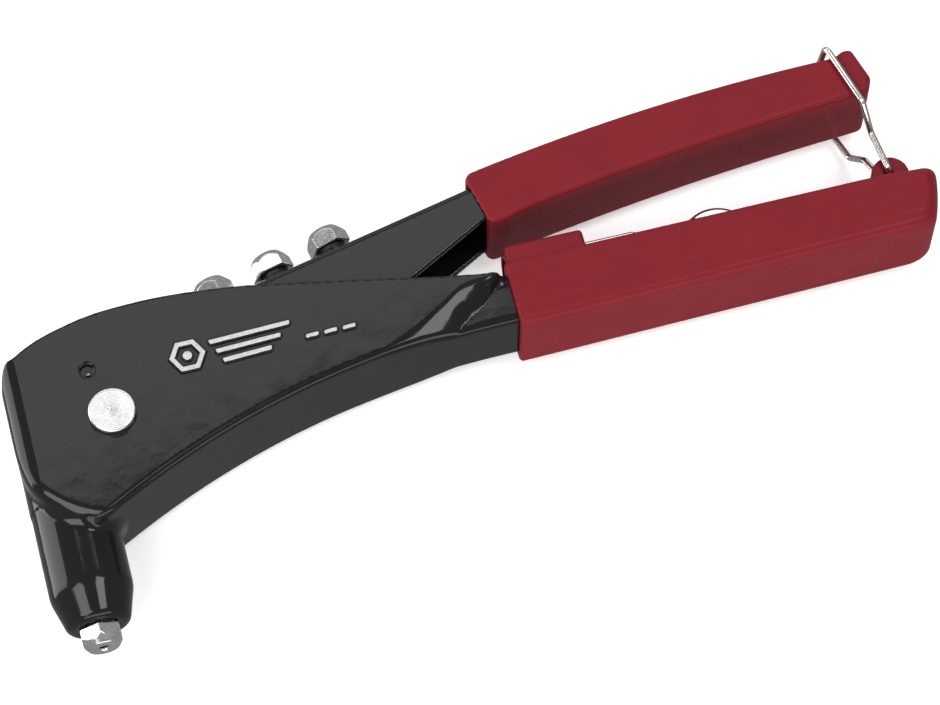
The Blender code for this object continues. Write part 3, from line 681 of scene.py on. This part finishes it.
def underside(x):
    reach = np.maximum(HANDLE_START - x, 0) / UNDERSIDE_SPAN
    rise = HANDLE_RISE * np.maximum(x - HANDLE_START, 0) / (BODY_END - HANDLE_START)
    return UNDERSIDE + rise - UNDERSIDE_DROP * reach**UNDERSIDE_POWER


def top_edge(x):
    return curve(TOP_EDGE, x)


def body_field(x, y, z):
    side = np.abs(z)
    under = -above(underside, x, y)
    corner = np.hypot(np.minimum(x - CORNER_CENTRE[0], 0), np.minimum(y - CORNER_CENTRE[1], 0))
    corner = corner - CORNER_R
    shape = cap(side - body_half(x, y), HEAD_LEFT - x, HEAD_EDGE)
    shape = cap(shape, corner, CORNER_EDGE)
    shape = cap(shape, under, UNDERSIDE_EDGE)
    shape = cap(shape, above(top_edge, x, y), 0.55)
    shape = cap(shape, x - BODY_END, 0.5)

    from_axis = np.hypot(x - BARREL_X, z)
    taper = (from_axis - BARREL_R + BARREL_TAPER * (TAPER_START - y)) / math.hypot(1, BARREL_TAPER)
    barrel = cap(cap(from_axis - BARREL_R, taper, 0.3), BARREL_END - y, 1.6)
    barrel = cap(barrel, y - BARREL_TOP, 0.5)
    collar = cap(from_axis - BARREL_R - COLLAR, between(y, COLLAR_END, BARREL_TOP), 0.4)
    valley = 0.4 + 2.2 * ease((x - HEAD_LEFT - 0.5) / 5.0)
    shape = join(shape, barrel, valley)
    shape = join(shape, collar, 0.15)

    hollow = cap(side - body_half(x, y) + WALL, HEAD_LEFT + WALL - x, 3.2)
    hollow = cap(hollow, corner + WALL, 1.5)
    hollow = cap(hollow, np.maximum(under + WALL, HEAD_FLOOR - y), 1.2)
    shape = cut(shape, hollow, 0.5)
    bore = np.maximum(from_axis - BORE_R, taper + 1.0)
    shape = cut(shape, cap(bore, between(y, BARREL_FLOOR, -12.0), 0.3), 0.4)
    shape = cut(shape, cap(from_axis - THREAD_R - 0.1, y + 40.0, 0.3), 0.4)
    shape = cut(shape, disc(x, y, (0, 0), PIN_HOLE_R) + 0 * z, 0.3)
    anchor = np.maximum(disc(x, y, ANCHOR_HOLE, ANCHOR_R), 5.0 - z)
    return cut(shape, anchor, 0.45)


def make_body(paint):
    low, high = (HEAD_LEFT, BARREL_END, -HEAD_HALF), (BODY_END, 27.9, HEAD_HALF)
    mesh = meshed("pressed_body", body_field, low, high, 0.62)
    add_piece(mesh, paint, "frame", BLACK, "body")


# Emblem: a plain hexagon and stripes

def emblem_strokes():
    """The rounded corners of each stripe and dash, whose ends are slanted."""
    strokes = []
    lean = 0.45
    for k, (start, end) in enumerate(STRIPES):
        y = STRIPE_Y - STRIPE_PITCH * k
        strokes.append([(start, y, 0.3), (end, y + 0.5, 0.3), (end - lean, y - 0.65, 0.3),
                        (start + lean, y - 1.15, 0.3)])
    for k in range(3):
        x = DASH_START + DASH_PITCH * k
        strokes.append([(x, 8.6, 0.3), (x + 3.2, 8.7, 0.3), (x + 2.9, 7.7, 0.3), (x - 0.3, 7.6, 0.3)])
    return strokes


def emblem_flat(x, y):
    px, py = x - EMBLEM_CENTRE[0], y - EMBLEM_CENTRE[1]
    ring = hexagon(px, py, 30, EMBLEM_HALF)
    shape = np.maximum(ring, -(ring + EMBLEM_LINE))
    shape = np.minimum(shape, np.hypot(px, py) - EMBLEM_LINE)
    for stroke in emblem_strokes():
        shape = np.minimum(shape, outline(rounded(stroke, 3))(x, y))
    return shape


def make_emblem(paint, silver):
    def base(x, y, z):
        return cap(emblem_flat(x, y) - 0.45, between(z, HEAD_HALF - 0.3, HEAD_HALF + 0.55), 0.28)

    def tops(x, y, z):
        return cap(emblem_flat(x, y), between(z, HEAD_HALF + 0.2, HEAD_HALF + 0.64), 0.12)

    low, high = (16.0, 5.5, HEAD_HALF - 0.4), (63.5, 15.0, HEAD_HALF + 0.7)
    add_piece(meshed("emblem_base", base, low, high, 0.2, 1), paint, "frame", BLACK)
    add_piece(meshed("emblem_tops", tops, low, high, 0.2, 1), silver, "frame", BLACK)


# Lever

def web_top(x):
    return WEB_START[1] + (x - WEB_START[0]) * math.tan(LEVER_SLOPE)


def bowed(x, start, span, level, rise, bow):
    """A shallow arch that starts level, and over its span rises by rise less bow."""
    t = (x - start) / span
    return level + rise * t - bow * t * t


def grip_top(x):
    return bowed(x, 99.0, 97.0, 42.9, 18.0, 9.0)


def grip_low(x):
    return bowed(x, 102.0, 99.0, 28.4, 17.94, 6.14)


def lever_top(x):
    under = grip_top(x) - GRIP_SKIN - GAP
    inside = ease((x - 100.5) / 14.0)
    return web_top(x) + (under - web_top(x)) * inside


def lever_outline():
    tail = np.linspace(98.0, LEVER_END, 18)
    skin = GRIP_SKIN + GAP
    points = arc(ARM_TIP, ARM_TIP_R + 0.9, 75, 245, 14)
    points += arc((0, 0), BOSS_R, 212, 300, 10)
    points += [(60.0, 11.0), (79.5, 19.0), (100.0, grip_low(102.0) + skin)]
    points += [(x, grip_low(x) + skin) for x in tail if x > 103]
    points += [(x, lever_top(x)) for x in tail[::-1]]
    points += [WEB_START, (14.0, 11.6)]
    return points + arc((0, 0), BOSS_R, 58, 125, 8)


def spare_places():
    """Base and direction of each spare nosepiece along the lever's web."""
    out = np.array((-math.sin(LEVER_SLOPE), math.cos(LEVER_SLOPE), 0))
    along = np.array((math.cos(LEVER_SLOPE), math.sin(LEVER_SLOPE), 0))
    return [(np.array((*SPARE_FIRST, 0)) + along * SPARE_PITCH * k, out) for k in range(3)]


def make_lever(paint):
    flat_of = outline(lever_outline())

    def field(x, y, z):
        side = np.abs(z)
        flat = flat_of(x, y)
        bend = 0.4 + 1.7 * ease((y - lever_top(x) + 5.0) / 3.0) * ease((x - 20.0) / 6.0)
        shape = cap(side - LEVER_HALF, flat, bend)
        below = -above(lambda v: lever_top(v) - WEB, x, y)
        hollow = cap(side - LEVER_INNER, np.minimum(-below, x - WEB_START[0]), 0.9)
        shape = cut(shape, hollow, 0.35)
        pad = cap(disc(x, y, ARM_TIP, ARM_TIP_R), between(side, 4.9, 9.4), 0.4)
        shape = join(shape, pad, 0.3)
        shape = cut(shape, disc(x, y, (0, 0), PIN_HOLE_R) + 0 * z, 0.3)
        for base, out in spare_places():
            px, py = x - base[0], y - base[1]
            from_axis = np.hypot(px * out[1] - py * out[0], z)
            along = px * out[0] + py * out[1]
            shape = cut(shape, np.maximum(from_axis - SPARE_HOLE_R, between(along, -6, 4)), 0.25)
        return shape

    low, high = (-17.0, -9.1, -LEVER_HALF), (LEVER_END, 50.5, LEVER_HALF)
    add_piece(meshed("pressed_lever", field, low, high, 0.6), paint, "lever", BLACK, "lever")


# Grips

def make_lever_grip(plastic):
    half = LEVER_GRIP_HIGH[2]
    top = [(x, grip_top(x), 0) for x in np.linspace(103.0, 195.0, 24)]
    low = [(x, grip_low(x) - 0.9 * (1 - ease((x - 102.0) / 11.0)), 0) for x in np.linspace(198.0, 106.0, 24)]
    corners = [(101.0, 27.7, 2.2), (97.5, 42.6, 2.6)] + top
    corners += [(197.6, 52.3, 2.5), (199.2, 53.2, 1.5), (201.6, 53.2, 2.4), (204.2, 44.0, 2.2),
                (202.6, 40.4, 2.4)] + low
    flat_of = outline(rounded(corners, 6))
    pocket_of = outline([(90.0, lever_top(97.0) + GAP)]
                        + [(x, lever_top(x) + GAP) for x in np.linspace(97.0, 196.3, 30)]
                        + [(x, grip_low(x) + GRIP_SKIN) for x in np.linspace(196.3, 102.0, 30)]
                        + [(90.0, grip_low(102.0) + GRIP_SKIN)])

    def field(x, y, z):
        side = np.abs(z)
        shape = cap(side - half, flat_of(x, y), 1.4)
        pocket = cap(side - LEVER_HALF - GAP, pocket_of(x, y), 0.3)
        return cut(shape, pocket, 0.35)

    low_corner = (96.0, 26.5, -half)
    high_corner = (LEVER_GRIP_HIGH[0] + 0.5, 54.0, half)
    mesh = meshed("lever_handle_grip", field, low_corner, high_corner, 0.55)
    add_piece(mesh, plastic, "lever", RED, "lever_grip")


def grip_end(x, y):
    """Distance past the fixed grip's end: upright above, slanting in below."""
    slant = np.radians(29.5)
    below = (x - GRIP_HIGH[0]) * math.cos(slant) - (y - 9.6) * math.sin(slant)
    return cap(x - GRIP_HIGH[0], below, 5.0)


def make_body_grip(plastic):
    half, end = GRIP_HIGH[2], GRIP_HIGH[0]
    lobe_of = outline([(LOBE_CENTRE[0] + 8.0, 12.0)] + arc(LOBE_CENTRE, LOBE_R, -20, 200, 24)
                      + [(LOBE_CENTRE[0] - 6.5, 12.0)])

    def field(x, y, z):
        side = np.abs(z)
        along = (x - GRIP_START) / (end - GRIP_START)
        shape = cap(side - half, grip_end(x, y), 4.5)
        shape = cap(shape, y - GRIP_TOP - 0.3 * along, 1.5 + 1.6 * ease((x - 200.0) / 9.0))
        shape = cap(shape, GRIP_BOTTOM + GRIP_BOTTOM_RISE * along - y, 2.4)
        shape = cap(shape, GRIP_START - x, 1.0)
        crown = np.hypot(z, np.maximum(y - HOOD_Y, 0)) - HOOD_R
        hood = join(crown, cap(side - HOOD_HALF, y - HOOD_SHOULDER, 1.7), 1.0)
        hood = cap(hood, between(x, HOOD_START, HOOD_END), 1.1)
        shape = join(shape, np.maximum(hood, 6.0 - y), 0.5)
        shape = join(shape, cap(side - LOBE_HALF, lobe_of(x, y), 0.55), 0.7)
        pocket = cap(side - HANDLE_HALF - GAP, underside(x) - GAP - y, 2.0)
        pocket = np.maximum(pocket, np.maximum(y - HANDLE_TOP - GAP, x - BODY_END - GAP))
        shape = cut(shape, pocket, 0.3)
        ends = between(x, HOOD_END - 0.5, SLOT_END)
        slot = cap(side - SLOT_HALF, np.maximum(SLOT_FLOOR - y, ends), 0.6)
        shape = cut(shape, slot, 0.5)
        under_hood = np.maximum(np.hypot(z, np.maximum(y - HOOD_Y, 0)) - SLOT_HALF,
                                np.maximum(SLOT_FLOOR - y, x - HOOD_END - 2.0))
        shape = cut(shape, under_hood, 0.5)
        seam = np.abs(y - SEAM_Y - 0.004 * (x - 150.0)) - SEAM_HALF
        groove = SEAM_DEPTH * np.clip(-seam / SEAM_HALF, 0, 1)
        shape = np.where(side > half - 0.5, shape + groove, shape)
        return cut(shape, disc(x, y, CLIP_PIVOT, WIRE_R + 0.25) + 0 * z, 0.25)

    low, high = (GRIP_START, GRIP_LOW[1], -half), (end, 26.0, half)
    mesh = meshed("fixed_handle_grip", field, low, high, 0.5)
    add_piece(mesh, plastic, "frame", RED, "body_grip")


# Nosepieces

def nosepiece(name, base, along, length, neck, tail, bore, shank, turn, body, steels, node):
    """A hexagonal nosepiece, its hexagon turned about its axis, on a threaded neck and stem."""
    steel, dark, bore_shade = steels
    along = np.array(along, float)
    base = np.array(base, float)
    side = np.cross(along, (0, 0, 1))

    def field(x, y, z):
        px, py, pz = x - base[0], y - base[1], z - base[2]
        s = px * along[0] + py * along[1] + pz * along[2]
        u = px * side[0] + py * side[1] + pz * side[2]
        r = np.hypot(u, pz)
        cone = (r - HEX_ROUND + (s - length + CONE_LENGTH) * CONE_SLOPE) / math.hypot(1, CONE_SLOPE)
        foot = (r - HEX_ROUND - (s - neck - 0.2) * FOOT_SLOPE) / math.hypot(1, FOOT_SLOPE)
        head = cap(cap(hexagon(u, pz, turn, HEX_FLAT / 2), cone, 0.12), between(s, neck, length), 0.25)
        head = cap(head, foot, 0.1)
        thread = THREAD_DEPTH * np.cos(2 * math.pi * s / THREAD_PITCH - np.arctan2(pz, u))
        stem = cap(r - shank + THREAD_DEPTH + thread, between(s, -SPARE_TAIL, neck + 0.4), 0.3)
        stem = join(stem, cap(r - min(shank, TAIL_R), between(s, -tail, 0.0), 0.3), 0.1)
        shape = join(head, stem, 0.15)
        # The bore is cut wider by the thickness of the painted-shade lining that sits in it.
        hole = r - bore - SHADE_LINING_THICK - 0.3 * ease((s - length + 0.5) / 0.5)
        return cut(shape, hole + 0 * s, 0.15)

    middle = base + along * (length - tail) / 2
    half = np.abs(along) * (length + tail) / 2 + (1 - np.abs(along)) * HEX_FLAT * 0.62 + 0.4
    mesh = meshed(name, field, middle - half, middle + half, 0.17, 1)
    add_piece(mesh, steel, body, BRIGHT, node)
    # A near-black lining tube in the bore is painted shade: it darkens the hole, whose plated walls would
    # otherwise show lit.
    outer = bore + SHADE_LINING_THICK - 0.02
    shade_lining = [(bore, 0.4 - tail), (outer, 0.4 - tail), (outer, length - 0.6), (bore, length - 0.6)]
    add_piece(turned(name + "_bore", shade_lining, base, along, 40), bore_shade, body, BRIGHT, node)
    if neck > 0:
        ridges = [(SPARE_NECK_R - 0.3 * (k % 2), s) for k, s in enumerate(np.arange(0.1, neck - 0.1, 0.4))]
        ring = [(shank + 0.05, 0.1)] + ridges + [(shank + 0.05, neck - 0.05)]
        add_piece(turned(name + "_neck", ring, base, along, 48), dark, body, BRIGHT, node)


def make_nosepieces(steels):
    seat = (BARREL_X, BARREL_END - GAP, 0)
    nosepiece("fitted_nosepiece", seat, (0, -1, 0), seat[1] - NOSE_LOW[1], 0.0, FITTED_TAIL,
              FITTED_BORE, THREAD_R - 0.2, 0, "frame", steels, "nosepiece_fitted")
    for k, (base, out) in enumerate(spare_places()):
        nosepiece(f"spare_nosepiece_piece_{k + 1}", base, out, SPARE_LENGTH, SPARE_NECK, SPARE_TAIL,
                  SPARE_BORES[k], SPARE_SHANK_R, 30 + SPARE_TURNS[k], "lever", steels,
                  f"spare_nosepiece_{k + 1}")


# Pivot

def make_pivot(face, steel, dark):
    top, tail = PIN_HIGH[2], PIN_LOW[2]
    head = HEAD_HALF + GAP
    ringed = []
    for r in np.linspace(PIN_HEAD_R - 0.55, 0.15, 90):
        groove = GROOVE_DEPTH * math.sin(2 * math.pi * r / GROOVE_PITCH) * max(0.3, 1 - r / 3.5)
        ringed.append((r, top - 0.05 - 0.10 * math.exp(-(r / 1.1) ** 2) + groove))
    profile = [(0.15, tail), (PIN_R - 0.4, tail), (PIN_R, tail + 0.4), (PIN_R, -15.2),
               (PIN_NECK_R, -15.2), (PIN_NECK_R, -14.3), (PIN_R, -14.3), (PIN_R, head),
               (PIN_HEAD_R - 0.15, head),
               (PIN_HEAD_R, head + 0.15), (PIN_HEAD_R, top - 0.4), (PIN_HEAD_R - 0.12, top - 0.13),
               (PIN_HEAD_R - 0.4, top)] + ringed
    mesh = turned("pivot_rivet", profile, *PIVOT_LINE, 128, sharp=45)
    add_piece(mesh, face, "frame", BRIGHT, "pivot_pin")
    washer = rounded([(PIN_HOLE_R, -13.3, 0.2), (6.2, -13.3, 0.3), (6.2, -14.1, 0.3),
                      (PIN_HOLE_R, -14.1, 0.2)])
    add_piece(turned("pivot_washer_piece", washer, *PIVOT_LINE), steel, "frame", BRIGHT, "pivot_washer")
    ring = rounded([(3.2, -14.45, 0.1), (5.0, -14.45, 0.2), (5.0, -15.05, 0.2), (3.2, -15.05, 0.1)], 3)
    mesh = turned("retaining_ring", ring, *PIVOT_LINE, sweep=(35.0, 325.0))
    add_piece(mesh, dark, "frame", DARK, "pivot_circlip")
    bush = rounded([(PIN_HOLE_R, -BUSH_HALF, 0.2), (BUSH_R, -BUSH_HALF, 0.3), (BUSH_R, BUSH_HALF, 0.3),
                    (PIN_HOLE_R, BUSH_HALF, 0.2)])
    add_piece(turned("pivot_bush_piece", bush, *PIVOT_LINE), dark, "frame", DARK, "pivot_bush")


def make_opening_spring(dark):
    radius, turns, pitch = BUSH_R + GAP + 0.65, 4, 1.5
    leg_end = (24.5, 18.4)
    start = math.atan2(ANCHOR_HOLE[1], ANCHOR_HOLE[0]) + math.acos(radius / math.hypot(*ANCHOR_HOLE))
    end = math.atan2(leg_end[1], leg_end[0]) - math.acos(radius / math.hypot(*leg_end))
    end += 2 * math.pi * (turns + 1)
    coil = []
    for a in np.linspace(start, end, 200):
        z = 3.4 - pitch * (a - start) / (2 * math.pi)
        coil.append((radius * math.cos(a), radius * math.sin(a), z))
    route = bent_route([(*ANCHOR_HOLE, 11.2), (*ANCHOR_HOLE, 4.6), coil[0]], 1.2)[:-1] + coil
    route += [(*leg_end, coil[-1][2] - 0.2)]
    add_piece(tube("lever_spring", route, SPRING_WIRE_R, 12), dark, "frame", DARK, "opening_spring")


# Pulling parts

def make_pulling_parts(steel, dark):
    case = rounded([(3.4, -31.5, 0.2), (6.6, -31.5, 0.2), (CASE_R, -30.7, 0.2), (CASE_R, -0.1, 0.3),
                    (5.6, -0.1, 0.2), (5.6, -20.0, 0), (3.4, -29.5, 0)])
    add_piece(turned("jaw_case_piece", case, *BARREL_LINE), dark, "jaw_case", DARK, "jaw_case")
    tip = ARM_TIP[1]
    low, high = tip - ARM_TIP_R - 0.35, tip + ARM_TIP_R + 0.35
    spool = rounded([(2.2, -5.0, 0), (5.3, -5.0, 0.3), (5.3, 0.2, 0.1), (CASE_R, 0.2, 0.3),
                     (CASE_R, low, 0.3), (4.3, low, 0.5), (4.3, high, 0.5), (CASE_R, high, 0.3),
                     (CASE_R, high + 3.2, 0.9), (2.2, high + 3.2, 0.4)])
    add_piece(turned("pull_spool", spool, *BARREL_LINE), steel, "jaw_case", BRIGHT, "jaw_case_head")

    def cone(y):
        """The jaw case's inner radius."""
        return 3.4 + 2.2 * (y + 29.5) / 9.5

    for k in range(3):
        middle = 120.0 * k + 30.0
        teeth = [(1.3 + 0.18 * (j % 2), -21.6 - 7.0 * j / 14) for j in range(15)]
        jaw = teeth + [(1.3, -28.9), (cone(-28.9) - GAP, -28.9), (cone(-21.0) - GAP, -21.0), (1.9, -21.0)]
        mesh = turned(f"gripping_jaw_{k + 1}", jaw, *BARREL_LINE, 24, (middle - 54, middle + 54), 25)
        add_piece(mesh, steel, "jaws", BRIGHT, f"jaw_{k + 1}")
    pusher = rounded([(2.0, -20.6, 0.1), (3.2, -20.6, 0.2), (5.1, -18.4, 0.2), (5.1, -16.0, 0.3),
                      (3.1, -16.0, 0.2), (3.1, -14.6, 0.2), (2.0, -14.6, 0.1)])
    add_piece(turned("jaw_pusher_piece", pusher, *BARREL_LINE), steel, "jaws", BRIGHT, "jaw_pusher")
    coil = []
    for t in np.linspace(0, 1, JAW_SPRING_TURNS * 40 + 1):
        a = 2 * math.pi * JAW_SPRING_TURNS * t
        coil.append((BARREL_X + JAW_SPRING_R * math.cos(a), JAW_SPRING_END + JAW_SPRING_LENGTH * t,
                     JAW_SPRING_R * math.sin(a)))
    add_piece(tube("pusher_spring", coil, 0.45, 10), dark, "jaw_case", DARK, "jaw_spring")


# Wire clip and wrench

def make_wire_clip(nickel):
    """The loose clip sits askew, so its near and far legs differ."""
    near = [(*CLIP_PIVOT, 0.7), (*CLIP_PIVOT, 3.4), (201.1, 31.9, 4.9), (199.7, 37.2, 12.45),
            (195.2, 54.2, 12.45)]
    far = [(*CLIP_PIVOT, -0.7), (*CLIP_PIVOT, -3.4), (199.9, 29.6, -5.6), (197.9, 34.6, -12.45),
           (191.6, 53.4, -12.45)]
    route = bent_route(near + far[::-1], 1.7, 9)
    add_piece(tube("handle_clip", route, WIRE_R, 20), nickel, "wire_clip", NICKEL, "wire_clip")


def make_wrench(nickel):
    """A flat ring wrench, its edges rolled over."""
    half = WRENCH_THICK / 2
    shank_top, shank_low, left = 21.8, 13.7, 104.5
    shank_y, round_end = (shank_top + shank_low) / 2, (shank_top - shank_low) / 2
    shank_of = outline([(136.0, shank_top), (141.0, 19.9), (152.0, 20.5), (152.0, shank_low)]
                       + arc((left + round_end, shank_y), round_end, 270, 90, 24))

    def field(x, y, z):
        side = np.abs(z)
        shape = cap(side - half, shank_of(x, y), 0.5)
        shape = join(shape, cap(side - half, disc(x, y, RING_CENTRE, RING_R), 1.2), 1.2)
        opening = hexagon(x - RING_CENTRE[0], y - RING_CENTRE[1], 30, RING_FLAT / 2)
        shape = cut(shape, opening + 0 * z, 0.45)
        return cut(shape, disc(x, y, (left + 4.5, shank_y), 1.8) + 0 * z, 0.3)

    low = left, RING_CENTRE[1] - RING_R, -half
    high = RING_CENTRE[0] + RING_R, RING_CENTRE[1] + RING_R, half
    mesh = meshed("nosepiece_wrench", field, low, high, 0.3, 1)
    add_piece(mesh, nickel, "wrench", NICKEL, "wrench")


# Stage

def panel(name, way, distance, size, radiance):
    """A soft rectangular light that faces the tool.

    way is the direction from the tool to the light, size its width and height in metres, and
    radiance its brightness, where a white floor in full light has about 1.
    """
    way = Vector(way).normalized()
    data = bpy.data.lights.new(name, "AREA")
    data.shape = "RECTANGLE"
    data.size, data.size_y = size
    data.energy = radiance * math.pi * size[0] * size[1]
    made = bpy.data.objects.new(name, data)
    bpy.context.scene.collection.objects.link(made)
    made.location = Vector((0, 0, TOOL_MIDDLE)) + way * distance
    made.rotation_mode = "QUATERNION"
    made.rotation_quaternion = way.to_track_quat("Z", "Y")
    return made


def ceiling_panel(name, x, y, size, turn=0.0):
    """A level panel overhead, turned by some degrees."""
    made = panel(name, (0, 0, 1), CEILING - TOOL_MIDDLE, size, 1.9)
    made.location = (x, y, CEILING)
    made.rotation_quaternion = Quaternion((0, 0, 1), math.radians(turn))


def make_stage():
    floor_mesh = bpy.data.meshes.new("floor")
    corners = [(x * FLOOR_HALF, y * FLOOR_HALF, 0) for x, y in ((-1, -1), (1, -1), (1, 1), (-1, 1))]
    floor_mesh.from_pydata(corners, [], [(0, 1, 2, 3)])
    floor = bpy.data.objects.new("floor", floor_mesh)
    s = Surface("pale_floor")
    colour = s.colours(s.noise(60.0, 3), ((0.3, (0.90, 0.90, 0.90)), (0.7, (0.92, 0.92, 0.92))))
    s.shader.inputs["Specular IOR Level"].default_value = 0.0
    s.shader.inputs["Emission Color"].default_value = (1.0, 1.0, 1.0, 1.0)
    s.shader.inputs["Emission Strength"].default_value = 0.4
    floor_mesh.materials.append(s.wear(colour, s.span(s.noise(8.0, 2), 0.3, 0.7, 0.9, 0.95)))
    bpy.context.scene.collection.objects.link(floor)
    floor.visible_glossy = False

    world = bpy.data.worlds.new("studio")
    world.use_nodes = True
    world.node_tree.nodes["Background"].inputs["Color"].default_value = (1.0, 1.0, 1.0, 1.0)
    world.node_tree.nodes["Background"].inputs["Strength"].default_value = 0.32
    bpy.context.scene.world = world
    panel("right_softbox", (0.42, -0.12, 0.90), 1.3, (0.50, 0.50), 6.5)
    panel("left_softbox", (-0.55, -0.36, 0.75), 1.3, (0.80, 0.80), 5.0)
    panel("front_card", (0.0, -0.95, 0.24), 1.3, (1.60, 0.45), 3.2)
    panel("left_card", (-0.90, 0.42, 0.02), 1.2, (0.90, 1.20), 3.2)
    panel("back_card", (0.05, 0.92, 0.34), 1.3, (2.00, 0.70), 0.85)
    ceiling_panel("ceiling_panel", 0.0039, 0.5571, (0.56, 0.34), 12.7)
    ceiling_panel("right_ceiling_panel", 0.345, 0.580, (0.40, 0.36))
    bpy.context.scene.view_settings.view_transform = "Standard"


def make_camera():
    """Looks down on the tool from its front left, from 0.94 m."""
    aim = ORIGIN + np.array((88.88, 0.0, 0.0)) * MM
    azimuth, elevation, distance = math.radians(-14.3), math.radians(65.5), 0.936
    back = np.array((math.sin(azimuth) * math.cos(elevation), -math.cos(azimuth) * math.cos(elevation),
                     math.sin(elevation)))
    data = bpy.data.cameras.new("camera")
    data.lens = 145.5
    data.sensor_width = 36.0
    data.clip_start = 0.05
    camera = bpy.data.objects.new("camera", data)
    bpy.context.scene.collection.objects.link(camera)
    camera.location = aim + back * distance
    camera.rotation_mode = "QUATERNION"
    camera.rotation_quaternion = (-Vector(back)).to_track_quat("-Z", "Y")
    bpy.context.scene.camera = camera


paint, plastic = make_black_paint(), make_red_plastic()
steel, face, dark = make_bright_steel(), make_turned_face(), make_dark_steel()
nickel, silver = make_nickel(), make_silver_print()
make_camera()
make_stage()
make_body(paint)
make_emblem(paint, silver)
make_lever(paint)
make_lever_grip(plastic)
make_body_grip(plastic)
make_nosepieces((steel, dark, make_bore_shade_lining()))
make_pivot(face, steel, dark)
make_opening_spring(dark)
make_pulling_parts(steel, dark)
make_wire_clip(nickel)
make_wrench(nickel)
